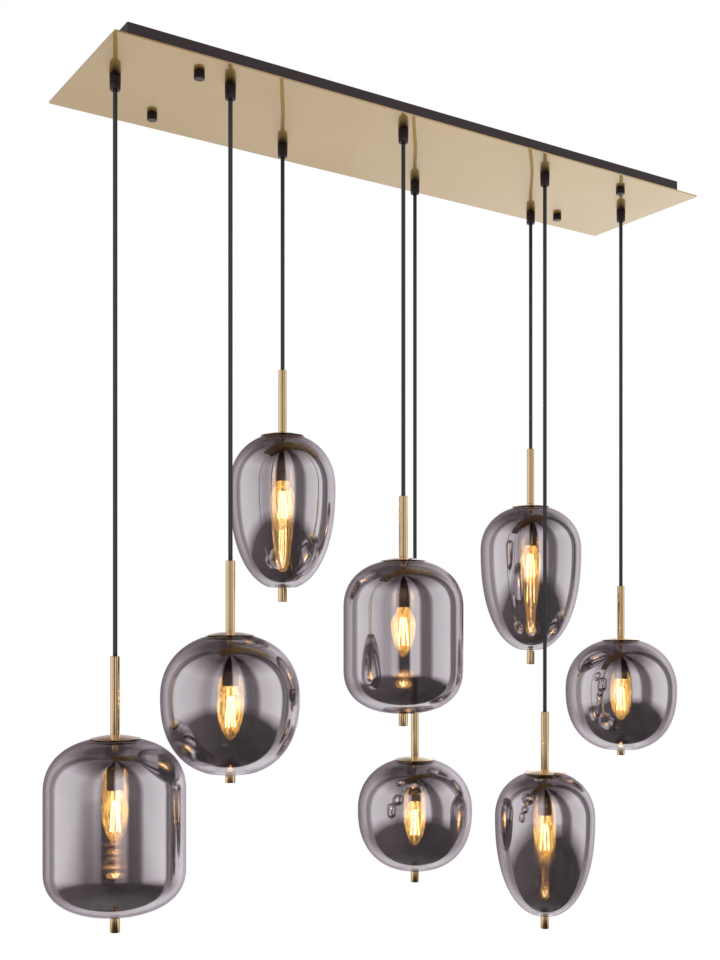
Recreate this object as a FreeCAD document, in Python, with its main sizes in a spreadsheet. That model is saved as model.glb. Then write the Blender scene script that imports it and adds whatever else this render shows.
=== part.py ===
"""Eight-light cluster pendant on a rectangular canopy.

A shallow black tray is held against the ceiling by two brackets. A brass plate covers the tray, and four
black cap nuts on the bracket studs hold both up. Eight textile cords leave the plate through clamping
cord grips. Each carries a brass stem, a domed cap, a lampholder with its bulb, a smoked glass shade and a
small brass finial. Shades come in three blown forms: straight, round and egg.

Frame: millimetres, +Z up, origin at the centre of the ceiling face, +X along the plate.
"""
import FreeCAD, Part
import math
import os

import Sketcher
from FreeCAD import Placement, Rotation, Vector

# ------------------------------------------------------------------------------------------------------
# Driving sizes
# ------------------------------------------------------------------------------------------------------

COMMON_SIZES = {
    # canopy tray and brass plate
    "plate_length": 1000.0,
    "plate_width": 235.0,
    "plate_thickness": 2.0,
    "plate_corner_radius": 2.0,
    "tray_length": 952.0,
    "tray_width": 195.0,
    "tray_depth": 24.0,
    "tray_sheet": 1.0,
    "tray_corner_radius": 1.5,
    # brackets, studs and cap nuts
    "bracket_spacing": 740.0,
    "bracket_length": 178.0,
    "bracket_width": 34.0,
    "bracket_sheet": 2.0,
    "bracket_slot_width": 5.5,
    "bracket_slot_length": 16.0,
    "bracket_slot_spacing": 70.0,
    "stud_spacing": 148.0,
    "stud_diameter": 4.0,
    "stud_flange_diameter": 8.0,
    "stud_flange_height": 1.0,
    "stud_end_clearance": 1.5,
    "cap_nut_diameter": 14.0,
    "cap_nut_length": 8.5,
    "cap_nut_edge": 1.2,
    "cap_nut_end_wall": 2.5,
    "thread_clearance": 0.1,
    "sheet_hole_clearance": 0.25,
    # cord grips
    "cord_diameter": 5.8,
    "cord_clearance": 0.3,
    "grip_length": 19.0,
    "grip_top_diameter": 14.6,
    "grip_bottom_diameter": 13.6,
    "grip_rim_round": 1.6,
    "grip_shank_diameter": 9.8,
    "grip_shank_over": 1.0,
    "locknut_across_flats": 14.0,
    "locknut_height": 4.0,
    "grub_diameter": 3.0,
    "grub_length": 3.0,
    "grub_level": 11.0,
    "grub_turn": 237.0,
    # wiring inside the tray
    "terminal_length": 96.0,
    "terminal_width": 20.0,
    "terminal_height": 16.0,
    "terminal_ways": 8.0,
    "terminal_screw_diameter": 4.0,
    "terminal_screw_height": 1.5,
    "lead_bend_radius": 7.0,
    "earth_screw_diameter": 4.0,
    "earth_screw_head": 8.0,
    "earth_screw_height": 5.0,
    "earth_tag_length": 16.0,
    "earth_tag_sheet": 0.8,
    "earth_place_x": 120.0,
    "earth_place_y": -70.0,
    # stem, dome cap and nipple
    "stem_diameter": 12.5,
    "stem_end_wall": 4.0,
    "stem_edge": 0.9,
    "nipple_diameter": 10.0,
    "nipple_bore": 7.0,
    "nipple_in_stem": 14.0,
    "nipple_in_holder": 6.0,
    "dome_diameter": 64.0,
    "dome_height": 5.0,
    "dome_sheet": 1.0,
    "seat_gap": 0.2,
    # lampholder
    "bar_length": 52.0,
    "bar_width": 13.0,
    "bar_sheet": 1.5,
    "holder_cap_diameter": 25.0,
    "holder_cap_height": 22.0,
    "holder_cap_wall": 1.8,
    "holder_ring_diameter": 36.0,
    "holder_ring_height": 8.0,
    "holder_skirt_diameter": 21.0,
    "holder_skirt_length": 31.0,
    "holder_skirt_wall": 1.6,
    "holder_floor": 5.0,
    "shell_diameter": 16.4,
    "shell_wall": 0.8,
    "shell_length": 20.0,
    "contact_diameter": 5.0,
    "contact_height": 3.0,
    # bulb
    "bulb_base_diameter": 13.8,
    "bulb_base_length": 24.0,
    "bulb_tip_diameter": 6.0,
    "bulb_tip_height": 2.0,
    "bulb_contact_gap": 0.2,
    "bulb_glass_wall": 0.8,
    "bulb_neck_diameter": 14.4,
    "bulb_diameter": 35.0,
    "bulb_neck_height": 27.0,
    "bulb_point_height": 48.0,
    "bulb_mount_diameter": 5.0,
    "bulb_mount_length": 16.0,
    "filament_diameter": 1.8,
    "filament_length": 38.0,
    "filament_circle": 7.0,
    "filament_lean": 4.0,
    # shade
    "shade_wall": 2.5,
    "shade_top_hole": 40.0,
    "shade_base_hole": 5.0,
    # finial
    "finial_diameter": 13.5,
    "finial_length": 22.0,
    "finial_edge": 0.7,
    "finial_bore_depth": 12.0,
    "finial_screw_diameter": 4.0,
    "finial_screw_head": 10.0,
    "finial_screw_head_height": 2.5,
    "finial_washer_diameter": 12.0,
    "finial_washer_thickness": 1.5,
    "finial_washer_gap": 0.8,
}

# How full each blown form is: 2 is an ellipse, a higher value is squarer. The kick is the dent in its base.
FORM_SIZES = {
    "straight": {"crown_fullness": 2.3, "base_fullness": 2.4, "kick_diameter": 44.0},
    "round": {"crown_fullness": 2.15, "base_fullness": 2.35, "kick_diameter": 64.0},
    "egg": {"crown_fullness": 2.15, "base_fullness": 2.25, "kick_diameter": 44.0},
}

# Each pendant: where its cord leaves the plate, how far it hangs, and its own hand-blown shade.
PENDANT_FORMS = {
    1: "straight", 2: "round", 3: "egg", 4: "straight", 5: "round", 6: "egg", 7: "egg", 8: "round",
}
PENDANT_SIZES = {
    "place_x": {1: -456, 2: -321, 3: -170, 4: -53, 5: 78, 6: 324, 7: 226, 8: 444},
    "place_y": {1: -8, 2: -64, 3: 66, 4: -72, 5: 82, 6: 89, 7: -56, 8: -2},
    "cord_length": {1: 719, 2: 596, 3: 309, 4: 497, 5: 794, 6: 380, 7: 812, 8: 612},
    "stem_length": {1: 100, 2: 92, 3: 91, 4: 87, 5: 91, 6: 94, 7: 90, 8: 86},
    "shade_diameter": {1: 179, 2: 180, 3: 154, 4: 169, 5: 180, 6: 169, 7: 154, 8: 184},
    "crown_height": {1: 69, 2: 82, 3: 78, 4: 69, 5: 81, 6: 76, 7: 73, 8: 86},
    "side_length": {1: 98, 2: 0, 3: 0, 4: 84, 5: 0, 6: 0, 7: 0, 8: 0},
    "base_height": {1: 58, 2: 102, 3: 148, 4: 64, 5: 96, 6: 170, 7: 152, 8: 103},
    "kick_depth": {1: 1.5, 2: 16, 3: 7, 4: 8, 5: 6, 6: 2, 7: 6, 8: 18},
}
NUMBERS = sorted(PENDANT_FORMS)

# Where each lead enters the terminal block: side of the block, and place along it.
LEAD_ENTRIES = {
    1: ("left", 0.0), 2: ("near", -32.0), 3: ("far", -32.0), 4: ("near", -11.0),
    5: ("far", 11.0), 6: ("far", 32.0), 7: ("near", 32.0), 8: ("right", 0.0),
}

doc = FreeCAD.newDocument("cluster_pendant")
sheet = doc.addObject("Spreadsheet::Sheet", "Sizes")


def fill_sheet():
    """Write every driving size into the sheet as a plain number with an alias."""
    rows = list(COMMON_SIZES.items())
    for form, sizes in FORM_SIZES.items():
        rows += [(f"{form}_{name}", value) for name, value in sizes.items()]
    for name, values in PENDANT_SIZES.items():
        rows += [(f"{name}_{number}", value) for number, value in values.items()]
    for row, (alias, value) in enumerate(rows, start=1):
        sheet.set(f"A{row}", alias)
        sheet.set(f"B{row}", str(value))
        sheet.setAlias(f"B{row}", alias)
    doc.recompute()


def size(alias, number=None):
    """The value of a size, or of one pendant's own size, as the sheet holds it."""
    name = alias if number is None else f"{alias}_{number}"
    return float(sheet.get(name))


def form_size(alias, number):
    """A size that all shades of this pendant's blown form share."""
    return size(f"{PENDANT_FORMS[number]}_{alias}")


# ------------------------------------------------------------------------------------------------------
# Small builders
# ------------------------------------------------------------------------------------------------------

def bind(thing, prop, expression):
    """Tie a property to the sheet; in the expression every size is written as its alias in braces."""
    thing.setExpression(prop, expression.replace("{", "Sizes.").replace("}", ""))


def place(thing, x, y, z, rotation=None):
    """Put an object at a point of the part's frame."""
    thing.Placement = Placement(Vector(x, y, z), rotation or Rotation())
    return thing


def cylinder(name, diameter, height, x, y, z, rotation=None):
    """Upright cylinder standing on z."""
    thing = doc.addObject("Part::Cylinder", name)
    bind(thing, "Radius", f"({diameter}) / 2")
    bind(thing, "Height", height)
    return place(thing, x, y, z, rotation)


def cone(name, low_diameter, high_diameter, height, x, y, z):
    """Upright cone standing on z."""
    thing = doc.addObject("Part::Cone", name)
    bind(thing, "Radius1", f"({low_diameter}) / 2")
    bind(thing, "Radius2", f"({high_diameter}) / 2")
    bind(thing, "Height", height)
    return place(thing, x, y, z)


def column(name, diameter, low, high, x, y):
    """Upright cylinder between two levels that the code has worked out."""
    thing = doc.addObject("Part::Cylinder", name)
    bind(thing, "Radius", f"({diameter}) / 2")
    thing.Height = high - low
    return place(thing, x, y, low)


def box(name, length, width, height, x, y, z):
    """Box centred on x and y, standing on z."""
    thing = doc.addObject("Part::Box", name)
    bind(thing, "Length", length)
    bind(thing, "Width", width)
    bind(thing, "Height", height)
    doc.recompute([thing])
    return place(thing, x - thing.Length.Value / 2, y - thing.Width.Value / 2, z)


def fuse(name, *shapes):
    """One solid from several that overlap or share a face."""
    thing = doc.addObject("Part::MultiFuse", name)
    thing.Shapes = list(shapes)
    thing.Refine = True
    return thing


def cut(name, base, *tools):
    """The base with every tool taken out."""
    thing = doc.addObject("Part::Cut", name)
    thing.Base = base
    thing.Tool = tools[0] if len(tools) == 1 else fuse(f"{name}_tools", *tools)
    return thing


def group(name, *shapes):
    """Separate solids that share one node."""
    thing = doc.addObject("Part::Compound", name)
    thing.Links = list(shapes)
    return thing


def shaped(name, shape):
    """A free form whose shape is worked out here from the sheet's sizes."""
    thing = doc.addObject("Part::Feature", name)
    thing.Shape = shape
    return thing


def round_edges(name, base, radius, level, diameter):
    """Fillet the circular edges of the base at one level and diameter."""
    doc.recompute()
    picked = []
    for index, edge in enumerate(base.Shape.Edges, start=1):
        curve = edge.Curve
        if isinstance(curve, Part.Circle):
            if abs(curve.Center.z - level) < 0.01 and abs(curve.Radius - diameter / 2) < 0.01:
                picked.append((index, radius, radius))
    thing = doc.addObject("Part::Fillet", name)
    thing.Base = base
    thing.Edges = picked
    return thing


def origin_plane(body, role):
    """One of a body's own origin planes."""
    return next(item for item in body.Origin.OriginFeatures if item.Role == role)


def flat_sketch(body, name, level="0 mm"):
    """A sketch on the body's own XY plane, lifted to a level."""
    sketch = body.newObject("Sketcher::SketchObject", name)
    sketch.AttachmentSupport = [(origin_plane(body, "XY_Plane"), "")]
    sketch.MapMode = "FlatFace"
    bind(sketch, "AttachmentOffset.Base.z", level)
    return sketch


def draw_rectangle(sketch, length, width, tag):
    """A rectangle centred on the sketch's origin, its two sides bound to sizes."""
    corners = [Vector(-1, -1, 0), Vector(1, -1, 0), Vector(1, 1, 0), Vector(-1, 1, 0)]
    first = len(sketch.Geometry)
    for start, end in zip(corners, corners[1:] + corners[:1]):
        sketch.addGeometry(Part.LineSegment(start, end), False)
    for step in range(4):
        sketch.addConstraint(Sketcher.Constraint("Coincident", first + step, 2, first + (step + 1) % 4, 1))
    for step, direction in enumerate(("Horizontal", "Vertical", "Horizontal", "Vertical")):
        sketch.addConstraint(Sketcher.Constraint(direction, first + step))
    sketch.addConstraint(Sketcher.Constraint("Symmetric", first, 1, first + 2, 1, -1, 1))
    across = sketch.addConstraint(Sketcher.Constraint("DistanceX", first, 1, first, 2, 2.0))
    sketch.renameConstraint(across, f"{tag}_length")
    along = sketch.addConstraint(Sketcher.Constraint("DistanceY", first + 1, 1, first + 1, 2, 2.0))
    sketch.renameConstraint(along, f"{tag}_width")
    bind(sketch, f"Constraints.{tag}_length", length)
    bind(sketch, f"Constraints.{tag}_width", width)


def draw_hole(sketch, diameter, x, y, tag):
    """A circle at a point, its diameter and place bound to sizes."""
    index = sketch.addGeometry(Part.Circle(Vector(0, 0, 0), Vector(0, 0, 1), 1), False)
    rows = (("Diameter", (index, 2.0), diameter), ("DistanceX", (-1, 1, index, 3, 0.0), x),
            ("DistanceY", (-1, 1, index, 3, 0.0), y))
    for kind, where, expression in rows:
        row = sketch.addConstraint(Sketcher.Constraint(kind, *where))
        sketch.renameConstraint(row, f"{tag}_{kind}")
        bind(sketch, f"Constraints.{tag}_{kind}", expression)


def pad(body, sketch, length):
    """Material from a sketch, upwards."""
    feature = body.newObject("PartDesign::Pad", f"{sketch.Name}_pad")
    feature.Profile = sketch
    bind(feature, "Length", length)
    sketch.Visibility = False
    return feature


def pocket(body, sketch, length):
    """A cut from a sketch, upwards, checked to take material away."""
    doc.recompute()
    before = body.Shape.Volume
    feature = body.newObject("PartDesign::Pocket", f"{sketch.Name}_pocket")
    feature.Profile = sketch
    feature.Reversed = True
    bind(feature, "Length", length)
    doc.recompute()
    if not body.Shape.Volume < before:
        raise RuntimeError(f"{feature.Name} cut nothing")
    return feature


def round_corners(body, radius, height):
    """Fillet the body's upright outer corners."""
    doc.recompute()
    base = body.Tip
    limits = base.Shape.BoundBox
    names = []
    for index, edge in enumerate(base.Shape.Edges, start=1):
        upright = abs(edge.Length - height) < 0.01 and edge.BoundBox.ZLength > height - 0.01
        outer = abs(abs(edge.BoundBox.XMin) - limits.XMax) < 0.01 and \
            abs(abs(edge.BoundBox.YMin) - limits.YMax) < 0.01
        if upright and outer:
            names.append(f"Edge{index}")
    feature = body.newObject("PartDesign::Fillet", f"{body.Name}_corners")
    feature.Base = (base, names)
    bind(feature, "Radius", radius)
    return feature


fill_sheet()

# ------------------------------------------------------------------------------------------------------
# Levels, from the ceiling face down
# ------------------------------------------------------------------------------------------------------

PLATE_TOP = -size("tray_depth")
PLATE_UNDER = PLATE_TOP - size("plate_thickness")
TRAY_FLOOR = PLATE_TOP + size("tray_sheet")
GRIP_MOUTH = PLATE_UNDER - size("grip_length")
SHANK_TOP = TRAY_FLOOR + size("locknut_height") + size("grip_shank_over")
LEAD_LEVEL = SHANK_TOP + size("lead_bend_radius")
BRACKET_UNDER = -size("bracket_sheet")


def crown_drop(number, radius, wall=0.0):
    """How far a shade's crown has fallen below its highest point at a radius; wall goes inside."""
    full = form_size("crown_fullness", number)
    widest = size("shade_diameter", number) / 2 - wall
    height = size("crown_height", number) - wall
    return wall + height * (1 - (1 - (radius / widest) ** full) ** (1 / full))


def dome_curve():
    """Radius of the sphere that the domed cap is a slice of."""
    return (size("dome_diameter") ** 2 / 4 + size("dome_height") ** 2) / (2 * size("dome_height"))


def dome_room(number):
    """How far a shade's highest point can rise above the rim of its domed cap before the two touch."""
    hole = size("shade_top_hole") / 2
    rim = size("dome_diameter") / 2
    inner = dome_curve() - size("dome_sheet")
    centre = dome_curve() - size("dome_height")
    rooms = []
    for step in range(33):
        radius = hole + (rim - hole) * step / 32
        roof = max(math.sqrt(inner ** 2 - radius ** 2) - centre, 0.0)
        rooms.append(roof + crown_drop(number, radius))
    return min(rooms)


def kick_lift(number, radius):
    """How far the dent in a shade's base lifts the glass at a radius."""
    reach = form_size("kick_diameter", number) / 2
    return size("kick_depth", number) * (1 - min(radius / reach, 1.0) ** 2) ** 2


def washer_room(number):
    """Height above a shade's foot at which the flat washer under its dented base first touches glass."""
    full = form_size("base_fullness", number)
    widest = size("shade_diameter", number) / 2
    hole = size("shade_base_hole") / 2
    rim = size("finial_washer_diameter") / 2
    rooms = []
    for step in range(9):
        radius = hole + (rim - hole) * step / 8
        rise = size("base_height", number) * (1 - (1 - (radius / widest) ** full) ** (1 / full))
        rooms.append(kick_lift(number, radius) + rise)
    return min(rooms)


def levels(number):
    """Heights of one pendant's pieces in the part's frame."""
    level = {"stem_top": GRIP_MOUTH - size("cord_length", number)}
    level["stem_foot"] = level["stem_top"] - size("stem_length", number)
    level["dome_rim"] = level["stem_foot"] - size("dome_height")
    level["shade_top"] = level["dome_rim"] - size("seat_gap") + dome_room(number)
    under = crown_drop(number, math.hypot(size("bar_length"), size("bar_width")) / 2, size("shade_wall"))
    level["bar_top"] = level["shade_top"] - under - size("seat_gap")
    level["holder_top"] = level["bar_top"] - size("bar_sheet")
    level["ring_top"] = level["holder_top"] - size("holder_cap_height")
    level["skirt_top"] = level["ring_top"]
    level["skirt_foot"] = level["ring_top"] - size("holder_ring_height") - size("holder_skirt_length")
    waist = level["shade_top"] - size("crown_height", number)
    level["shade_waist"] = waist
    level["shade_hip"] = waist - size("side_length", number)
    level["shade_foot"] = level["shade_hip"] - size("base_height", number)
    level["finial_seat"] = level["shade_foot"] + washer_room(number) - size("finial_washer_gap")
    base_inside = level["shade_foot"] + size("kick_depth", number) + size("shade_wall")
    level["finial_inside"] = base_inside + size("seat_gap")
    return level


def axis_of(number):
    """Where a pendant hangs, seen from above."""
    return size("place_x", number), size("place_y", number)


# ------------------------------------------------------------------------------------------------------
# Canopy
# ------------------------------------------------------------------------------------------------------

def stud_places():
    """The four stud axes, seen from above."""
    reach_x = size("bracket_spacing") / 2
    reach_y = size("stud_spacing") / 2
    return [(side_x * reach_x, side_y * reach_y) for side_x in (-1, 1) for side_y in (-1, 1)]


def draw_canopy_holes(sketch):
    """Holes for the eight grip shanks and the four studs, the same in the tray and in the plate."""
    shank = "{grip_shank_diameter} + 2 * {sheet_hole_clearance}"
    stud = "{stud_diameter} + 2 * {sheet_hole_clearance}"
    for number in NUMBERS:
        draw_hole(sketch, shank, f"{{place_x_{number}}}", f"{{place_y_{number}}}", f"grip_{number}")
    for row, (side_x, side_y) in enumerate(((-1, -1), (-1, 1), (1, -1), (1, 1))):
        along = f"{side_x} * {{bracket_spacing}} / 2"
        draw_hole(sketch, stud, along, f"{side_y} * {{stud_spacing}} / 2", f"stud_{row}")


def make_brass_plate():
    """Flat rectangular plate with the grip and stud holes."""
    body = doc.addObject("PartDesign::Body", "brass_plate")
    outline = flat_sketch(body, "plate_outline")
    draw_rectangle(outline, "{plate_length}", "{plate_width}", "plate")
    pad(body, outline, "{plate_thickness}")
    round_corners(body, "{plate_corner_radius}", size("plate_thickness"))
    holes = flat_sketch(body, "plate_holes")
    draw_canopy_holes(holes)
    pocket(body, holes, "{plate_thickness}")
    return place(body, 0, 0, PLATE_UNDER)


def make_canopy_tray():
    """Folded sheet tray, open towards the ceiling, with its floor on the plate."""
    body = doc.addObject("PartDesign::Body", "canopy_tray")
    outline = flat_sketch(body, "tray_outline")
    draw_rectangle(outline, "{tray_length}", "{tray_width}", "tray")
    pad(body, outline, "{tray_depth}")
    round_corners(body, "{tray_corner_radius}", size("tray_depth"))
    inside = flat_sketch(body, "tray_inside", "{tray_sheet}")
    draw_rectangle(inside, "{tray_length} - 2 * {tray_sheet}", "{tray_width} - 2 * {tray_sheet}", "inside")
    pocket(body, inside, "{tray_depth} - {tray_sheet}")
    holes = flat_sketch(body, "tray_holes")
    draw_canopy_holes(holes)
    pocket(body, holes, "{tray_sheet}")
    return place(body, 0, 0, PLATE_TOP)


def make_ceiling_bracket(name, side):
    """Steel strap across the tray with two slots for ceiling screws."""
    body = doc.addObject("PartDesign::Body", name)
    outline = flat_sketch(body, f"{name}_outline")
    draw_rectangle(outline, "{bracket_width}", "{bracket_length}", "strap")
    pad(body, outline, "{bracket_sheet}")
    doc.recompute()
    slots = flat_sketch(body, f"{name}_slots")
    for row, side_y in enumerate((-1, 1)):
        draw_slot(slots, side_y, f"slot_{row}")
    pocket(body, slots, "{bracket_sheet}")
    return place(body, side * size("bracket_spacing") / 2, 0, BRACKET_UNDER)


def draw_slot(sketch, side_y, tag):
    """A round-ended slot along X, on one side of the strap's middle."""
    half = (size("bracket_slot_length") - size("bracket_slot_width")) / 2
    radius = size("bracket_slot_width") / 2
    level = side_y * size("bracket_slot_spacing") / 2
    first = len(sketch.Geometry)
    up = Vector(0, 0, 1)
    right = Part.Circle(Vector(half, level, 0), up, radius)
    left = Part.Circle(Vector(-half, level, 0), up, radius)
    sketch.addGeometry(Part.ArcOfCircle(right, -math.pi / 2, math.pi / 2), False)
    sketch.addGeometry(Part.LineSegment(Vector(half, level + radius, 0), Vector(-half, level + radius, 0)), False)
    sketch.addGeometry(Part.ArcOfCircle(left, math.pi / 2, 3 * math.pi / 2), False)
    sketch.addGeometry(Part.LineSegment(Vector(-half, level - radius, 0), Vector(half, level - radius, 0)), False)
    for start, end in ((0, 1), (1, 2), (2, 3), (3, 0)):
        mate = (first + start, 2, first + end, 1)
        sketch.addConstraint(Sketcher.Constraint("Tangent", *mate))
    sketch.addConstraint(Sketcher.Constraint("Horizontal", first + 1))
    rows = (("Radius", (first, radius), "{bracket_slot_width} / 2"),
            ("DistanceX", (-1, 1, first, 3, half), "({bracket_slot_length} - {bracket_slot_width}) / 2"),
            ("DistanceX", (first + 2, 3, -1, 1, half), "({bracket_slot_length} - {bracket_slot_width}) / 2"),
            ("DistanceY", (-1, 1, first, 3, level), f"{side_y} * {{bracket_slot_spacing}} / 2"))
    for step, (kind, where, expression) in enumerate(rows):
        row = sketch.addConstraint(Sketcher.Constraint(kind, *where))
        sketch.renameConstraint(row, f"{tag}_{step}")
        bind(sketch, f"Constraints.{tag}_{step}", expression)


def make_bracket_studs():
    """Four studs that hang from the brackets and pass through the tray and the plate."""
    studs = []
    reach = "{tray_depth} + {plate_thickness} + {cap_nut_length} - {cap_nut_end_wall}"
    rod = f"{reach} - {{stud_end_clearance}} - {{bracket_sheet}}"
    foot = PLATE_UNDER - size("cap_nut_length") + size("cap_nut_end_wall") + size("stud_end_clearance")
    for row, (x, y) in enumerate(stud_places()):
        shaft = cylinder(f"stud_rod_{row}", "{stud_diameter}", rod, x, y, foot)
        flange_foot = BRACKET_UNDER - size("stud_flange_height")
        flange = cylinder(f"stud_flange_{row}", "{stud_flange_diameter}", "{stud_flange_height}", x, y, flange_foot)
        studs.append(fuse(f"stud_{row}", shaft, flange))
    return group("bracket_studs", *studs)


def make_cap_nuts():
    """Four closed cylindrical nuts under the plate."""
    nuts = []
    foot = PLATE_UNDER - size("cap_nut_length")
    for row, (x, y) in enumerate(stud_places()):
        blank = cylinder(f"cap_nut_blank_{row}", "{cap_nut_diameter}", "{cap_nut_length}", x, y, foot)
        rounded = round_edges(f"cap_nut_round_{row}", blank, size("cap_nut_edge"), foot, size("cap_nut_diameter"))
        bore = cylinder(f"cap_nut_bore_{row}", "{stud_diameter} + 2 * {thread_clearance}",
                        "{cap_nut_length} - {cap_nut_end_wall}", x, y, foot + size("cap_nut_end_wall"))
        nuts.append(cut(f"cap_nut_{row}", rounded, bore))
    return group("cap_nuts", *nuts)


# ------------------------------------------------------------------------------------------------------
# Cord grips
# ------------------------------------------------------------------------------------------------------

GRUB_AXIS = Rotation(Vector(0, 0, 1), size("grub_turn")).multiply(Rotation(Vector(0, 1, 0), 90))


def grub_start(number, radius):
    """A point on a grip's screw axis, at a radius from the cord's axis."""
    x, y = axis_of(number)
    turn = math.radians(size("grub_turn"))
    return x + radius * math.cos(turn), y + radius * math.sin(turn), PLATE_UNDER - size("grub_level")


def grub_outer_radius():
    """Radius of the grip's tapered side at the screw."""
    share = size("grub_level") / size("grip_length")
    return (size("grip_top_diameter") * (1 - share) + size("grip_bottom_diameter") * share) / 2


def make_cord_grips():
    """Tapered grips below the plate, each with a threaded shank through the plate and the tray."""
    grips = []
    shank_length = "{plate_thickness} + {tray_sheet} + {locknut_height} + {grip_shank_over}"
    bore_length = "{grip_length} + {plate_thickness} + {tray_sheet} + {locknut_height} + {grip_shank_over}"
    for number in NUMBERS:
        x, y = axis_of(number)
        taper = cone(f"grip_taper_{number}", "{grip_bottom_diameter}", "{grip_top_diameter}", "{grip_length}",
                     x, y, GRIP_MOUTH)
        rounded = round_edges(f"grip_round_{number}", taper, size("grip_rim_round"), GRIP_MOUTH,
                              size("grip_bottom_diameter"))
        shank = cylinder(f"grip_shank_{number}", "{grip_shank_diameter}", shank_length, x, y, PLATE_UNDER)
        blank = fuse(f"grip_blank_{number}", rounded, shank)
        bore = cylinder(f"grip_bore_{number}", "{cord_diameter} + 2 * {cord_clearance}", bore_length,
                        x, y, GRIP_MOUTH)
        screw_hole = cylinder(f"grip_screw_hole_{number}", "{grub_diameter} + 2 * {thread_clearance}",
                              "{grip_top_diameter} / 2", *grub_start(number, 0), GRUB_AXIS)
        grips.append(cut(f"grip_{number}", blank, bore, screw_hole))
    return group("cord_grips", *grips)


def make_grip_screws():
    """Grub screws that clamp the cords, one in the side of each grip."""
    screws = []
    inner = grub_outer_radius() - size("grub_length")
    for number in NUMBERS:
        screws.append(cylinder(f"grub_{number}", "{grub_diameter}", "{grub_length}",
                               *grub_start(number, inner), GRUB_AXIS))
    return group("grip_screws", *screws)


def make_grip_locknuts():
    """Hexagon nuts on the tray floor that clamp the grips, the tray and the plate together."""
    nuts = []
    for number in NUMBERS:
        x, y = axis_of(number)
        hexagon = doc.addObject("Part::Prism", f"locknut_hexagon_{number}")
        hexagon.Polygon = 6
        bind(hexagon, "Circumradius", "{locknut_across_flats} / 2 / cos(30)")
        bind(hexagon, "Height", "{locknut_height}")
        place(hexagon, x, y, TRAY_FLOOR)
        bore = cylinder(f"locknut_bore_{number}", "{grip_shank_diameter} + 2 * {thread_clearance}",
                        "{locknut_height}", x, y, TRAY_FLOOR)
        nuts.append(cut(f"locknut_{number}", hexagon, bore))
    return group("grip_locknuts", *nuts)


# ------------------------------------------------------------------------------------------------------
# Wiring in the tray
# ------------------------------------------------------------------------------------------------------

def make_terminal_block():
    """Moulded terminal strip on the tray floor with two rows of clamp screws."""
    body = box("terminal_blank", "{terminal_length}", "{terminal_width}", "{terminal_height}", 0, 0, TRAY_FLOOR)
    pitch = size("terminal_length") / size("terminal_ways")
    top = TRAY_FLOOR + size("terminal_height")
    wells = []
    screws = []
    for way in range(int(size("terminal_ways"))):
        x = (way + 0.5) * pitch - size("terminal_length") / 2
        for side in (-1, 1):
            y = side * size("terminal_width") / 4
            tag = f"{way}_{'near' if side < 0 else 'far'}"
            depth = "2 * {terminal_screw_height}"
            foot = top - 2 * size("terminal_screw_height")
            wells.append(cylinder(f"well_{tag}", "{terminal_screw_diameter} + 2 * {sheet_hole_clearance}", depth,
                                  x, y, foot))
            screws.append(cylinder(f"clamp_screw_{tag}", "{terminal_screw_diameter}", "{terminal_screw_height}",
                                   x, y, foot))
    return group("terminal_block", cut("terminal_body", body, *wells), *screws)


def lead_end(number):
    """Where a lead meets the terminal block."""
    side, along = LEAD_ENTRIES[number]
    if side in ("left", "right"):
        return (-1 if side == "left" else 1) * size("terminal_length") / 2, along
    return along, (-1 if side == "near" else 1) * size("terminal_width") / 2


def swept_cord(path, start, direction):
    """A round cord along a wire of straight runs and tangent arcs, its volume checked."""
    radius = size("cord_diameter") / 2
    ring = Part.Wire(Part.makeCircle(radius, start, direction))
    solid = path.makePipeShell([ring], True, False)
    expected = math.pi * radius ** 2 * path.Length
    if abs(solid.Volume - expected) > 0.02 * expected:
        raise RuntimeError("a swept cord has the wrong volume")
    return solid


def lead_path(number):
    """Straight up through the grip, one quarter turn, then level to the terminal block."""
    x, y = axis_of(number)
    end_x, end_y = lead_end(number)
    reach = math.hypot(end_x - x, end_y - y)
    ahead = Vector((end_x - x) / reach, (end_y - y) / reach, 0)
    bend = size("lead_bend_radius")
    foot = Vector(x, y, GRIP_MOUTH)
    rise = Vector(x, y, LEAD_LEVEL - bend)
    centre = rise + ahead * bend
    middle = centre + (Vector(0, 0, 1) - ahead) * (bend / math.sqrt(2))
    level = Vector(x, y, LEAD_LEVEL) + ahead * bend
    end = Vector(end_x, end_y, LEAD_LEVEL)
    edges = [Part.LineSegment(foot, rise), Part.Arc(rise, middle, level), Part.LineSegment(level, end)]
    return Part.Wire([edge.toShape() for edge in edges])


def trim_at_block(solid):
    """The lead without the part of its end that would enter the terminal block."""
    reach_x = size("terminal_length") / 2
    reach_y = size("terminal_width") / 2
    block = Part.makeBox(2 * reach_x, 2 * reach_y, size("tray_depth"), Vector(-reach_x, -reach_y, TRAY_FLOOR))
    return solid.cut(block)


def make_inner_leads():
    """The end of each cord inside its grip and the tray, up to the terminal block."""
    leads = []
    for number in NUMBERS:
        path = lead_path(number)
        start = Vector(*axis_of(number), GRIP_MOUTH)
        solid = trim_at_block(swept_cord(path, start, Vector(0, 0, 1)))
        leads.append(shaped(f"lead_{number}", solid))
    return group("inner_leads", *leads)


def make_earth_terminal():
    """Earth screw with its tag on the tray floor."""
    x = size("earth_place_x")
    y = size("earth_place_y")
    tag = box("earth_tag_blank", "{earth_tag_length}", "{earth_screw_head}", "{earth_tag_sheet}", x, y, TRAY_FLOOR)
    screw_foot = TRAY_FLOOR + size("earth_tag_sheet")
    screw = cylinder("earth_screw", "{earth_screw_head} - 2 * {thread_clearance}", "{earth_screw_height} / 2",
                     x, y, screw_foot)
    shaft = cylinder("earth_shaft", "{earth_screw_diameter}", "{earth_screw_height} / 2", x, y,
                     screw_foot + size("earth_screw_height") / 2)
    return group("earth_terminal", tag, fuse("earth_bolt", screw, shaft))


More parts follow.
